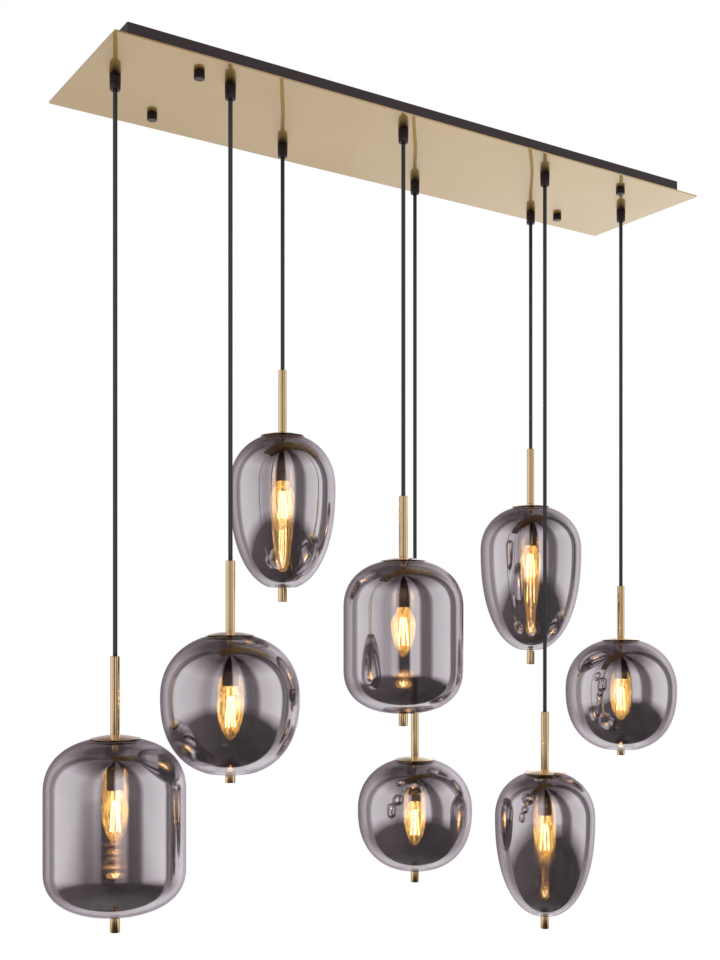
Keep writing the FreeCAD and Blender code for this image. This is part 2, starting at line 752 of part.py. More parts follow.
# ------------------------------------------------------------------------------------------------------
# Pendants
# ------------------------------------------------------------------------------------------------------

def make_cord(number, level):
    """The straight hanging cord, from the grip's mouth to the top of the stem."""
    x, y = axis_of(number)
    return cylinder(f"cord_{number}", "{cord_diameter}", f"{{cord_length_{number}}}", x, y, level["stem_top"])


def make_stem(number, level):
    """Brass tube, domed cap under it, threaded nipple through both."""
    x, y = axis_of(number)
    foot = level["stem_foot"]
    tube = cylinder(f"tube_blank_{number}", "{stem_diameter}", f"{{stem_length_{number}}}", x, y, foot)
    tube = round_edges(f"tube_round_{number}", tube, size("stem_edge"), level["stem_top"], size("stem_diameter"))
    bore = cylinder(f"tube_bore_{number}", "{nipple_diameter} + 2 * {thread_clearance}",
                    f"{{stem_length_{number}}} - {{stem_end_wall}}", x, y, foot)
    entry = cylinder(f"tube_entry_{number}", "{cord_diameter} + 2 * {cord_clearance}",
                     f"{{stem_length_{number}}}", x, y, foot)
    tube = cut(f"tube_{number}", tube, bore, entry)

    curve = "({dome_diameter}^2 / 4 + {dome_height}^2) / (2 * {dome_height})"
    centre = foot - dome_curve()
    skin = doc.addObject("Part::Sphere", f"dome_skin_{number}")
    bind(skin, "Radius", curve)
    bind(skin, "Angle1", f"asin(1 - {{dome_height}} / ({curve}))")
    place(skin, x, y, centre)
    hollow = doc.addObject("Part::Sphere", f"dome_hollow_{number}")
    bind(hollow, "Radius", f"{curve} - {{dome_sheet}}")
    place(hollow, x, y, centre)
    hole = cylinder(f"dome_hole_{number}", "{nipple_diameter} + 2 * {thread_clearance}", "2 * {dome_height}",
                    x, y, foot - 1.5 * size("dome_height"))
    dome = cut(f"dome_{number}", skin, hollow, hole)

    nipple_top = foot + size("nipple_in_stem")
    nipple_foot = level["holder_top"] - size("nipple_in_holder")
    rod = column(f"nipple_rod_{number}", "{nipple_diameter}", nipple_foot, nipple_top, x, y)
    way = column(f"nipple_way_{number}", "{nipple_bore}", nipple_foot, nipple_top, x, y)
    return group(f"stem_{number}", tube, dome, cut(f"nipple_{number}", rod, way))


def make_lampholder(number, level):
    """Clamp bar under the glass, holder cap, shade ring, skirt, screw shell, contact and cord end."""
    x, y = axis_of(number)
    bar = box(f"bar_blank_{number}", "{bar_length}", "{bar_width}", "{bar_sheet}", x, y, level["holder_top"])
    bar_hole = cylinder(f"bar_hole_{number}", "{nipple_diameter} + 2 * {thread_clearance}", "{bar_sheet}",
                        x, y, level["holder_top"])
    bar = cut(f"bar_{number}", bar, bar_hole)

    cap_foot = level["ring_top"]
    cap = cylinder(f"holder_cap_blank_{number}", "{holder_cap_diameter}", "{holder_cap_height}", x, y, cap_foot)
    cap_room = cylinder(f"holder_cap_room_{number}", "{holder_cap_diameter} - 2 * {holder_cap_wall}",
                        "{holder_cap_height} - {holder_cap_wall}", x, y, cap_foot)
    cap_hole = cylinder(f"holder_cap_hole_{number}", "{nipple_diameter} + 2 * {thread_clearance}",
                        "{holder_cap_height}", x, y, cap_foot)
    cap = cut(f"holder_cap_{number}", cap, cap_room, cap_hole)

    ring_foot = cap_foot - size("holder_ring_height")
    ring = cylinder(f"ring_blank_{number}", "{holder_ring_diameter}", "{holder_ring_height}", x, y, ring_foot)
    ring_hole = cylinder(f"ring_hole_{number}", "{holder_skirt_diameter} + 2 * {thread_clearance}",
                         "{holder_ring_height}", x, y, ring_foot)
    ring = cut(f"ring_{number}", ring, ring_hole)

    foot = level["skirt_foot"]
    length = "{holder_ring_height} + {holder_skirt_length}"
    skirt = cylinder(f"skirt_blank_{number}", "{holder_skirt_diameter}", length, x, y, foot)
    skirt_room = cylinder(f"skirt_room_{number}", "{holder_skirt_diameter} - 2 * {holder_skirt_wall}",
                          f"{length} - {{holder_floor}}", x, y, foot)
    skirt = cut(f"skirt_{number}", skirt, skirt_room)

    shell_foot = level["skirt_top"] - size("holder_floor") - size("shell_length")
    shell = cylinder(f"shell_blank_{number}", "{shell_diameter}", "{shell_length}", x, y, shell_foot)
    shell_room = cylinder(f"shell_room_{number}", "{shell_diameter} - 2 * {shell_wall}", "{shell_length}",
                          x, y, shell_foot)
    shell = cut(f"shell_{number}", shell, shell_room)
    contact = cylinder(f"contact_{number}", "{contact_diameter}", "{contact_height}", x, y,
                       level["skirt_top"] - size("holder_floor") - size("contact_height"))

    cord_foot = level["holder_top"] - size("nipple_in_holder")
    cord_end = column(f"cord_end_{number}", "{cord_diameter}", cord_foot, level["stem_top"], x, y)
    return group(f"lampholder_{number}", bar, cap, ring, skirt, shell, contact, cord_end)


def bulb_outline(inset):
    """Half outline of the bulb's glass from its neck down to its point, as a smooth curve; inset goes inside."""
    neck = size("bulb_neck_diameter") / 2 - inset
    belly = size("bulb_diameter") / 2 - inset
    widest = size("bulb_neck_height")
    point = size("bulb_point_height") - inset
    upper = []
    for step in range(7):
        share = step / 6
        swell = math.sin(share * math.pi / 2) ** 2
        upper.append(Vector(neck + (belly - neck) * swell, 0, -widest * share))
    lower = []
    for step in range(9):
        turn = step / 8 * math.pi / 2
        lower.append(Vector(belly * math.cos(turn) ** 1.25, 0, -widest - point * math.sin(turn)))
    return upper, lower


def smooth_edge(points, first=None, last=None):
    """One smooth curve through points, with chosen end directions."""
    curve = Part.BSplineCurve()
    if first is None:
        curve.interpolate(Points=points)
    else:
        curve.interpolate(Points=points, InitialTangent=first, FinalTangent=last)
    return curve.toShape()


def turned(edges):
    """A solid turned about the upright axis from a closed half outline."""
    face = Part.Face(Part.Wire(edges))
    return face.revolve(Vector(0, 0, 0), Vector(0, 0, 1), 360)


def bulb_glass():
    """Thin closed candle-shaped envelope, open at its neck."""
    down = Vector(0, 0, -1)
    inward = Vector(-1, 0, 0)
    outer_upper, outer_lower = bulb_outline(0.0)
    inner_upper, inner_lower = bulb_outline(size("bulb_glass_wall"))
    edges = [
        smooth_edge(outer_upper, down, down),
        smooth_edge(outer_lower, down, inward),
        Part.makeLine(outer_lower[-1], inner_lower[-1]),
        smooth_edge(list(reversed(inner_lower)), -inward, -down),
        smooth_edge(list(reversed(inner_upper)), -down, -down),
        Part.makeLine(inner_upper[0], outer_upper[0]),
    ]
    return turned(edges)


def make_bulb(number, level):
    """Filament candle bulb: screw base, contact tip, glass envelope, glass mount and four filaments."""
    x, y = axis_of(number)
    foot = level["skirt_top"] - size("holder_floor") - size("contact_height") - size("bulb_contact_gap")
    tip_foot = foot - size("bulb_tip_height")
    tip = cylinder(f"bulb_tip_{number}", "{bulb_tip_diameter}", "{bulb_tip_height}", x, y, tip_foot)
    neck = tip_foot - size("bulb_base_length")
    base = cylinder(f"bulb_base_blank_{number}", "{bulb_base_diameter}", "{bulb_base_length}", x, y, neck)
    mount_foot = neck - size("bulb_mount_length")
    glass = shaped(f"bulb_glass_{number}", bulb_glass())
    place(glass, x, y, neck)
    mount = cylinder(f"bulb_mount_{number}", "{bulb_mount_diameter}", "{bulb_mount_length}", x, y, mount_foot)
    filaments = []
    for quarter in range(4):
        turn = math.radians(45 + 90 * quarter)
        reach = size("filament_circle") / 2
        spot = Vector(x + reach * math.cos(turn), y + reach * math.sin(turn), mount_foot)
        across = Vector(-math.sin(turn), math.cos(turn), 0)
        lean = Rotation(across, 180 - size("filament_lean"))
        filaments.append(cylinder(f"filament_{number}_{quarter}", "{filament_diameter}", "{filament_length}",
                                  spot.x, spot.y, spot.z, lean))
    return group(f"bulb_{number}", tip, base, glass, mount, *filaments)


def quarter_curve(widest, height, fullness, from_radius, count=10):
    """Points of a full quarter curve in (radius, height above the widest ring), from a radius outwards."""
    start = math.asin((from_radius / widest) ** (fullness / 2))
    points = []
    for step in range(count):
        turn = start + (math.pi / 2 - start) * step / (count - 1)
        radius = widest * math.sin(turn) ** (2 / fullness)
        rise = height * max(math.cos(turn), 0.0) ** (2 / fullness) if step < count - 1 else 0.0
        points.append((radius, rise))
    return points


def shade_side(number, inset):
    """Half outline of a shade from its top hole to its base hole; inset is how far inside the outer skin."""
    widest = size("shade_diameter", number) / 2 - inset
    crown = size("crown_height", number)
    hip = crown + size("side_length", number)
    upper = [Vector(radius, 0, rise - crown) for radius, rise in
             quarter_curve(widest, crown - inset, form_size("crown_fullness", number), size("shade_top_hole") / 2)]
    lower = []
    for radius, fall in quarter_curve(widest, size("base_height", number) - inset,
                                      form_size("base_fullness", number), size("shade_base_hole") / 2, 16):
        lower.append(Vector(radius, 0, kick_lift(number, radius) - fall - hip))
    return upper, list(reversed(lower))


def blown_glass(number):
    """Blown shade with an even wall, a hole for the lampholder at the top and a small one at the base."""
    down = Vector(0, 0, -1)
    outer_upper, outer_lower = shade_side(number, 0.0)
    inner_upper, inner_lower = shade_side(number, size("shade_wall"))
    outer = side_edges(outer_upper, outer_lower, down)
    inner = side_edges(inner_upper, inner_lower, down)
    closing = [Part.makeLine(outer_lower[-1], inner_lower[-1]), Part.makeLine(inner_upper[0], outer_upper[0])]
    return turned(Part.__sortEdges__(outer + inner + closing))


def side_edges(upper, lower, down):
    """The crown curve, the straight side where there is one, and the base curve of one skin."""
    top_way = (upper[1] - upper[0]).normalize()
    low_way = (lower[-1] - lower[-2]).normalize()
    edges = [smooth_edge(upper, top_way, down)]
    if (upper[-1] - lower[0]).Length > 0.001:
        edges.append(Part.makeLine(upper[-1], lower[0]))
    edges.append(smooth_edge(lower, down, low_way))
    return edges


def make_shade(number, level):
    """One blown glass shade."""
    shade = shaped(f"shade_{number}", blown_glass(number))
    return place(shade, *axis_of(number), level["shade_top"])


def make_finial(number, level):
    """Brass finial screwed to the base of the glass from inside, with a washer on each side."""
    x, y = axis_of(number)
    seat = level["finial_seat"] - size("finial_washer_thickness")
    foot = seat - size("finial_length")
    knob = cylinder(f"knob_blank_{number}", "{finial_diameter}", "{finial_length}", x, y, foot)
    knob = round_edges(f"knob_round_{number}", knob, size("finial_edge"), foot, size("finial_diameter"))
    bore = cylinder(f"knob_bore_{number}", "{finial_screw_diameter} + 2 * {thread_clearance}",
                    "{finial_bore_depth}", x, y, seat - size("finial_bore_depth"))
    knob = cut(f"knob_{number}", knob, bore)

    inside = level["finial_inside"]
    washers = []
    for where, washer_foot in (("outer", seat), ("inner", inside)):
        disc = cylinder(f"washer_disc_{where}_{number}", "{finial_washer_diameter}", "{finial_washer_thickness}",
                        x, y, washer_foot)
        hole = cylinder(f"washer_hole_{where}_{number}", "{finial_screw_diameter} + 2 * {thread_clearance}",
                        "{finial_washer_thickness}", x, y, washer_foot)
        washers.append(cut(f"washer_{where}_{number}", disc, hole))

    head_foot = inside + size("finial_washer_thickness")
    shaft_foot = seat - size("finial_bore_depth") + size("stud_end_clearance")
    shaft = column(f"finial_shaft_{number}", "{finial_screw_diameter}", shaft_foot, head_foot, x, y)
    head = cylinder(f"finial_head_{number}", "{finial_screw_head}", "{finial_screw_head_height}", x, y, head_foot)
    return group(f"finial_{number}", knob, *washers, fuse(f"finial_screw_{number}", shaft, head))


# ------------------------------------------------------------------------------------------------------
# The whole part
# ------------------------------------------------------------------------------------------------------

def make_all():
    """Every node of the part, in the order it is put together."""
    nodes = [
        make_canopy_tray(), make_brass_plate(),
        make_ceiling_bracket("ceiling_bracket_left", -1), make_ceiling_bracket("ceiling_bracket_right", 1),
        make_bracket_studs(), make_cap_nuts(),
        make_cord_grips(), make_grip_screws(), make_grip_locknuts(),
        make_terminal_block(), make_inner_leads(), make_earth_terminal(),
    ]
    for number in NUMBERS:
        level = levels(number)
        for make in (make_cord, make_stem, make_lampholder, make_bulb, make_shade, make_finial):
            nodes.append(make(number, level))
    return nodes


def check(nodes):
    """Stop before anything is written if a feature failed or a node is not made of valid solids."""
    doc.recompute()
    for thing in doc.Objects:
        if "Invalid" in thing.State or "Error" in thing.State:
            raise RuntimeError(f"{thing.Name} failed: {thing.State}")
    for node in nodes:
        shape = node.Shape
        if shape.isNull() or not shape.isValid() or not shape.Solids:
            raise RuntimeError(f"{node.Label} has no valid shape")


def write(nodes):
    """One STEP file for each node."""
    os.makedirs("parts", exist_ok=True)
    for node in nodes:
        node.Label = node.Name
        node.Shape.exportStep(f"parts/{node.Label}.step")
        print(f"{node.Label}: {len(node.Shape.Solids)} solids, {node.Shape.Volume / 1000:.1f} cm3")


NODES = make_all()
check(NODES)
write(NODES)
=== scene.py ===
import math

import bpy
import numpy as np
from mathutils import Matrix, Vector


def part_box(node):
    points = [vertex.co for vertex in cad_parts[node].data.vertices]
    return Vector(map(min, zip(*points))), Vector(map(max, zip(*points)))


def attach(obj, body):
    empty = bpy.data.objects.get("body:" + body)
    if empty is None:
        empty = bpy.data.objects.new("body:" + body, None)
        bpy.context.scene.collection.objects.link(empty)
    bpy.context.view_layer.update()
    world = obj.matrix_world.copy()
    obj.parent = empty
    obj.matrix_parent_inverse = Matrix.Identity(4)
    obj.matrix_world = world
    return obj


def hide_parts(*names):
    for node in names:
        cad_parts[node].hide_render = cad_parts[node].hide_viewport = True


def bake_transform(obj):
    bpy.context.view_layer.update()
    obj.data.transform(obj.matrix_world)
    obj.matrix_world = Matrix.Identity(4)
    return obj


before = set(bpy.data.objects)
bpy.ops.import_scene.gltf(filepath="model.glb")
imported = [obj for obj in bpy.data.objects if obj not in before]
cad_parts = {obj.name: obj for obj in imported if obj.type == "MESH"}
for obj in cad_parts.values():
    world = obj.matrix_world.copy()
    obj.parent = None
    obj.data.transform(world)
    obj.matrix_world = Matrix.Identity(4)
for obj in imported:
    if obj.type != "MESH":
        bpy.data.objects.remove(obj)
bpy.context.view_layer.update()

# ------------------------------------------------------------------------------------------------------
# Sizes that the pieces share
# ------------------------------------------------------------------------------------------------------

CORD_DIAMETER = 0.0058
CORD_CLEARANCE = 0.0003
BRAID_PITCH = 0.0032
BRAID_THREADS = 8
LEAD_BEND_REACH = 0.016
LEAD_START = 0.002
TERMINAL_WAYS = (0.011, 0.032)
GRIP_LENGTH = 0.019
GRIP_TOP_RADIUS = 0.0073
GRIP_MOUTH_RADIUS = 0.0068
GRIP_EDGE = 0.0004
# the groove between its two lips, as shares of the grip's length
GRIP_GROOVE = (0.52, 0.545, 0.575, 0.60)
SHANK_CREST = 0.0049
SHANK_ROOT = 0.0045
SHANK_PITCH = 0.001
CAP_NUT_RADIUS = 0.007
CAP_NUT_LENGTH = 0.0085
STEM_RADIUS = 0.00625
STEM_ENTRY_DEPTH = 0.02
STEM_FOOT_STEP = 0.0006
DOME_RADIUS = 0.032
DOME_HEIGHT = 0.005
DOME_SHEET = 0.001
SHADE_TOP_HOLE_RADIUS = 0.020
SHADE_BASE_HOLE_RADIUS = 0.0025
SMOKE_INSET = 0.0022
HOLDER_CAP_RADIUS = 0.0125
HOLDER_CAP_HEIGHT = 0.022
HOLDER_RING_RADIUS = 0.018
HOLDER_RING_HEIGHT = 0.008
HOLDER_SKIRT_RADIUS = 0.0105
HOLDER_SKIRT_WALL = 0.0016
HOLDER_SKIRT_LENGTH = 0.031
NIPPLE_RADIUS = 0.005
BAR_LENGTH = 0.052
BAR_WIDTH = 0.013
BAR_SHEET = 0.0015
BULB_GLASS_LENGTH = 0.075
BULB_RADIUS = 0.0175
BULB_NECK_RADIUS = 0.0072
BULB_BELLY_DROP = 0.027
BULB_THREAD_CREST = 0.0069
BULB_THREAD_ROOT = 0.0062
BULB_THREAD_STEP = 0.0009
BULB_POST_LENGTH = 0.018
FILAMENT_RADIUS = 0.0009
FILAMENT_HIGH = (0.0035, 0.019)
FILAMENT_LOW = (0.0065, 0.058)
WIRE_RADIUS = 0.0003
FINIAL_RADIUS = 0.00675
FINIAL_LENGTH = 0.022
WASHER_RADIUS = 0.006
WASHER_THICKNESS = 0.0015
SCREW_HEAD_RADIUS = 0.005
SCREW_HEAD_HEIGHT = 0.0025
SCREW_RADIUS = SHADE_BASE_HOLE_RADIUS - 0.0003
SCREW_END_DROP = 0.003

# crown and base: how full each half of the blown form is (2 is an ellipse); kick: radius of the base dent
FORMS = {
    "straight": {"crown": 2.3, "base": 2.4, "kick": 0.022},
    "round": {"crown": 2.15, "base": 2.35, "kick": 0.032},
    "egg": {"crown": 2.15, "base": 2.25, "kick": 0.022},
}

# form, stem length, then of the shade: widest radius, crown height, straight side, base height, base dent
PENDANTS = {
    1: ("straight", 0.100, 0.0895, 0.069, 0.098, 0.058, 0.0015),
    2: ("round", 0.092, 0.0900, 0.082, 0.000, 0.102, 0.0160),
    3: ("egg", 0.091, 0.0770, 0.078, 0.000, 0.148, 0.0070),
    4: ("straight", 0.087, 0.0845, 0.069, 0.084, 0.064, 0.0080),
    5: ("round", 0.091, 0.0900, 0.081, 0.000, 0.096, 0.0060),
    6: ("egg", 0.094, 0.0845, 0.076, 0.000, 0.170, 0.0020),
    7: ("egg", 0.090, 0.0770, 0.073, 0.000, 0.152, 0.0060),
    8: ("round", 0.086, 0.0920, 0.086, 0.000, 0.103, 0.0180),
}


class Pendant:
    """Where one pendant's pieces lie, read from the frame's nodes."""

    def __init__(self, number):
        """Read the levels of one pendant."""
        self.number = number
        form, self.stem, self.widest, self.crown, self.side, self.base, self.kick = PENDANTS[number]
        self.form = FORMS[form]
        self.body = f"pendant_{number}"
        self.line = f"cord_{number}_line"
        low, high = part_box(f"cord_{number}")
        self.x = (low.x + high.x) / 2
        self.y = (low.y + high.y) / 2
        self.mouth = high.z
        self.stem_top = low.z
        self.stem_foot = self.stem_top - self.stem
        self.dome_rim = self.stem_foot - DOME_HEIGHT
        self.glass_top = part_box(f"shade_{number}")[1].z + self.crown_drop(SHADE_TOP_HOLE_RADIUS)
        self.waist = self.glass_top - self.crown
        self.hip = self.waist - self.side
        self.foot = self.hip - self.base
        self.finial_low, self.finial_high = (corner.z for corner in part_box(f"finial_{number}"))
        self.bulb_low, self.bulb_high = (corner.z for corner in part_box(f"bulb_{number}"))
        self.holder_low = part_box(f"lampholder_{number}")[0].z

    def crown_drop(self, radius):
        """How far the crown has fallen at a radius: height * (1 - (1 - (r / R) ** n) ** (1 / n))."""
        full = self.form["crown"]
        return self.crown * (1 - (1 - (radius / self.widest) ** full) ** (1 / full))


# ------------------------------------------------------------------------------------------------------
# Surfaces
# ------------------------------------------------------------------------------------------------------

def make_piece(name, points, faces, finishes, body, slots=None, sharp_deg=None):
    """A mesh object from vertex positions and faces, smooth, riding on a body."""
    mesh = bpy.data.meshes.new(name)
    mesh.from_pydata(points.tolist(), [], faces)
    for finish in finishes:
        mesh.materials.append(finish)
    if slots is not None:
        mesh.polygons.foreach_set("material_index", np.asarray(slots, np.int32))
    mesh.shade_smooth()
    if sharp_deg:
        mesh.set_sharp_from_angle(angle=math.radians(sharp_deg))
    mesh.update()
    piece = bpy.data.objects.new(name, mesh)
    bpy.context.scene.collection.objects.link(piece)
    if body:
        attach(piece, body)
    return piece


def turn_grid(profile, centre, turns):
    """Vertices and faces of a profile (radius, height) turned about the upright axis through centre:
    point (i, j) is (x + r_i cos a_j, y + r_i sin a_j, z_i) with a_j = 2 pi j / turns. A zero radius is one point."""
    profile = np.asarray(profile, float)
    angle = np.linspace(0, 2 * math.pi, turns, endpoint=False)
    pole = profile[:, 0] < 1e-7
    count = np.where(pole, 1, turns)
    first = np.concatenate([[0], np.cumsum(count)[:-1]])
    ring = np.where(pole[:, None], 0, np.arange(turns)[None, :])
    index = first[:, None] + ring
    grid = np.stack([centre[0] + profile[:, :1] * np.cos(angle), centre[1] + profile[:, :1] * np.sin(angle),
                     np.repeat(profile[:, 1:2], turns, axis=1)], axis=2)
    keep = np.where(pole[:, None], np.arange(turns)[None, :] == 0, True)
    points = grid[keep]
    ahead = np.roll(index, -1, axis=1)
    quads = np.stack([index[:-1], index[1:], ahead[1:], ahead[:-1]], axis=2)
    return points, quads, pole


def turned(name, profile, centre, finishes, body, turns=64, sharp_deg=40, slot_rows=None):
    """A turned piece. The profile runs so that the outside lies on its left as it goes down; slot_rows gives
    each profile step its finish."""
    points, quads, pole = turn_grid(profile, centre, turns)
    faces = []
    slots = []
    for row in range(len(quads)):
        block = quads[row]
        if pole[row]:
            block = block[:, :3]
        elif pole[row + 1]:
            block = block[:, [0, 1, 3]]
        faces += block.tolist()
        slots += [0 if slot_rows is None else slot_rows[row]] * turns
    return make_piece(name, points, faces, finishes, body, slots, sharp_deg)


def rounded(corners, radius, steps=4):
    """A profile whose inner corners are arcs: each corner is cut back by the arc's tangent length, and the arc
    is the quadratic curve a(1-t)^2 + 2ct(1-t) + bt^2 between the two cuts. radius is one value or one a corner."""
    corners = np.asarray(corners, float)
    radii = np.broadcast_to(radius, len(corners))
    line = [corners[0]]
    for before, corner, after, cut in zip(corners[:-2], corners[1:-1], corners[2:], radii[1:-1]):
        back = before - corner
        ahead = after - corner
        reach = min(cut, 0.45 * np.linalg.norm(back), 0.45 * np.linalg.norm(ahead))
        start = corner + back / np.linalg.norm(back) * reach
        end = corner + ahead / np.linalg.norm(ahead) * reach
        share = np.linspace(0, 1, steps + 1)[:, None]
        arc = start * (1 - share) ** 2 + 2 * corner * share * (1 - share) + end * share ** 2
        line += list(arc)
    line.append(corners[-1])
    return np.array(line)


def at_height(profile, level):
    """The profile lifted to a level."""
    return np.asarray(profile, float) + np.array([0.0, level])


def tube_along(name, path, radius, finish, body, sides=24):
    """A tube of circular rings: ring i is centred on path point i and lies square to the path there; its frame
    starts from one fixed side direction, which suits routes that bend in one upright plane."""
    path = np.asarray(path, float)
    ahead = np.gradient(path, axis=0)
    ahead /= np.linalg.norm(ahead, axis=1)[:, None]
    flat = path[-1] - path[0]
    side = np.array([-flat[1], flat[0], 0.0])
    side = side / np.linalg.norm(side) if np.linalg.norm(side) > 1e-6 else np.array([1.0, 0.0, 0.0])
    across = np.cross(ahead, side)
    across /= np.linalg.norm(across, axis=1)[:, None]
    angle = np.linspace(0, 2 * math.pi, sides, endpoint=False)
    ring = np.cos(angle)[None, :, None] * side[None, None, :] + np.sin(angle)[None, :, None] * across[:, None, :]
    points = (path[:, None, :] + radius * ring).reshape(-1, 3)
    index = np.arange(len(path) * sides).reshape(len(path), sides)
    nxt = np.roll(index, -1, axis=1)
    quads = np.stack([index[:-1], nxt[:-1], nxt[1:], index[1:]], axis=2).reshape(-1, 4)
    faces = quads.tolist() + [index[0][::-1].tolist(), index[-1].tolist()]
    piece = make_piece(name, points, faces, [finish], body)
    wrap_braid(piece, path, sides)
    recalculate(piece)
    return piece


def wrap_braid(piece, path, sides):
    """UV map of a tube: U runs once round it and V is the distance along it, in metres."""
    mesh = piece.data
    layer = mesh.uv_layers.new(name="braid")
    steps = np.linalg.norm(np.diff(path, axis=0), axis=1)
    along = np.concatenate([[0.0], np.cumsum(steps)])
    corner = np.zeros(len(mesh.loops), np.int32)
    mesh.loops.foreach_get("vertex_index", corner)
    around = (corner % sides) / sides
    uv = np.stack([around, along[corner // sides]], axis=1)
    quad_corners = (len(path) - 1) * sides * 4
    pair = uv[:quad_corners].reshape(-1, 4, 2)
    seam = (pair[:, :, 0].max(axis=1) - pair[:, :, 0].min(axis=1)) > 0.5
    pair[:, :, 0] += np.where(seam[:, None] & (pair[:, :, 0] < 0.5), 1.0, 0.0)
    layer.data.foreach_set("uv", uv.astype(np.float32).ravel())


def recalculate(piece):
    """Turn every face of a closed piece outwards."""
    import bmesh
    work = bmesh.new()
    work.from_mesh(piece.data)
    bmesh.ops.recalc_face_normals(work, faces=work.faces)
    work.to_mesh(piece.data)
    work.free()


# ------------------------------------------------------------------------------------------------------
# Finishes
# ------------------------------------------------------------------------------------------------------

class NodeTree:
    """Short ways to add nodes to a tree and to join them."""

    def __init__(self, tree):
        """Work on one node tree."""
        self.tree = tree

    def feed(self, socket, value):
        """Join an output to a socket, or set the socket to a value."""
        if isinstance(value, bpy.types.NodeSocket):
            self.tree.links.new(value, socket)
        else:
            socket.default_value = value

    def node(self, kind, **inputs):
        """A new node with its inputs fed by name."""
        made = self.tree.nodes.new(kind)
        for name, value in inputs.items():
            self.feed(made.inputs[name.replace("_", " ")], value)
        return made

    def math(self, operation, *values, clamp=False):
        """The output of one Math node."""
        made = self.tree.nodes.new("ShaderNodeMath")
        made.operation = operation
        made.use_clamp = clamp
        for socket, value in zip(made.inputs, values):
            self.feed(socket, value)
        return made.outputs[0]

    def fade(self, value, low, high, at_low, at_high):
        """A value carried from the range low to high to the range at_low to at_high."""
        return self.node("ShaderNodeMapRange", Value=value, From_Min=low, From_Max=high, To_Min=at_low,
                         To_Max=at_high).outputs["Result"]

    def spread(self, factor, low, high):
        """A 0 to 1 value carried to a range."""
        return self.fade(factor, 0.0, 1.0, low, high)

    def ramp(self, factor, *stops):
        """A colour ramp; each stop is (place, colour)."""
        made = self.node("ShaderNodeValToRGB", Fac=factor)
        elements = made.color_ramp.elements
        while len(elements) < len(stops):
            elements.new(0.5)
        for element, (place, colour) in zip(elements, stops):
            element.position = place
            element.color = (*colour, 1.0)
        return made.outputs["Color"]

    def mix_shader(self, share, first, second):
        """Two shaders mixed: the first where share is 0, the second where it is 1."""
        made = self.tree.nodes.new("ShaderNodeMixShader")
        for socket, value in zip(made.inputs, (share, first, second)):
            self.feed(socket, value)
        return made.outputs[0]


class Finish(NodeTree):
    """A material under construction: its nodes and its shader."""

    def __init__(self, name, **sockets):
        """A new material with its shader's sockets set."""
        self.material = bpy.data.materials.new(name)
        self.material.use_nodes = True
        super().__init__(self.material.node_tree)
        self.shader = self.tree.nodes["Principled BSDF"]
        for socket, value in sockets.items():
            self.shader.inputs[socket.replace("_", " ")].default_value = value

    def coordinates(self, scale=(1, 1, 1)):
        """Scaled object coordinates, as a vector."""
        where = self.node("ShaderNodeTexCoord").outputs["Object"]
        return self.node("ShaderNodeMapping", Vector=where, Scale=scale).outputs["Vector"]

    def noise(self, vector, scale, detail=2.0, roughness=0.5):
        """Smooth random value from 0 to 1."""
        return self.node("ShaderNodeTexNoise", Vector=vector, Scale=scale, Detail=detail,
                         Roughness=roughness).outputs["Fac"]

    def height(self):
        """Height above or below the ceiling."""
        where = self.node("ShaderNodeTexCoord").outputs["Object"]
        return self.node("ShaderNodeSeparateXYZ", Vector=where).outputs["Z"]

    def facing(self):
        """0 where the surface is seen face on, 1 at a glancing angle."""
        return self.node("ShaderNodeLayerWeight", Blend=0.5).outputs["Facing"]

    def join(self, output, socket):
        """Join an output to a socket of the shader."""
        self.tree.links.new(output, self.shader.inputs[socket])

    def bump(self, height, strength, distance):
        """Bump from a height value."""
        made = self.node("ShaderNodeBump", Height=height, Strength=strength, Distance=distance)
        self.tree.links.new(made.outputs["Normal"], self.shader.inputs["Normal"])


def grey(value):
    """An even grey."""
    return (value, value, value)


def satin_brass_plate():
    """Brass sheet with faint grinding lines along X that blur what it mirrors, under a clear lacquer whose own
    sharp and neutral reflections wander with the slow waviness of the sheet."""
    finish = Finish("satin_brass_plate", Metallic=1.0, Coat_Weight=1.0, Coat_Roughness=0.04, Coat_IOR=2.1)
    lines = finish.noise(finish.coordinates((5.0, 700.0, 700.0)), 3.0, 4.0, 0.6)
    cloud = finish.noise(finish.coordinates(), 5.0, 2.0)
    mixed = finish.math("MULTIPLY_ADD", lines, 0.35, finish.math("MULTIPLY", cloud, 0.65))
    finish.join(finish.ramp(mixed, (0.3, (0.54, 0.333, 0.078)), (0.7, (0.58, 0.366, 0.096))), "Base Color")
    finish.join(finish.spread(mixed, 0.38, 0.46), "Roughness")
    wave = finish.noise(finish.coordinates(), 6.0, 1.0)
    finish.bump(lines, 0.05, 0.0002)
    ripple = finish.node("ShaderNodeBump", Height=wave, Strength=1.0, Distance=0.0036)
    finish.join(ripple.outputs["Normal"], "Coat Normal")
    return finish.material


def polished_brass():
    """Turned brass with very fine rings across the axis, under a clear lacquer that adds a neutral gloss."""
    finish = Finish("polished_brass", Metallic=1.0, Coat_Weight=1.0, Coat_Roughness=0.06, Coat_IOR=1.9)
    rings = finish.noise(finish.coordinates((20.0, 20.0, 2500.0)), 1.0, 3.0, 0.6)
    cloud = finish.noise(finish.coordinates(), 40.0, 3.0)
    mixed = finish.math("MULTIPLY_ADD", rings, 0.3, finish.math("MULTIPLY", cloud, 0.7))
    finish.join(finish.ramp(mixed, (0.3, (0.85, 0.60, 0.28)), (0.7, (0.92, 0.68, 0.35))), "Base Color")
    finish.join(finish.spread(mixed, 0.11, 0.17), "Roughness")
    finish.bump(rings, 0.02, 0.0001)
    return finish.material


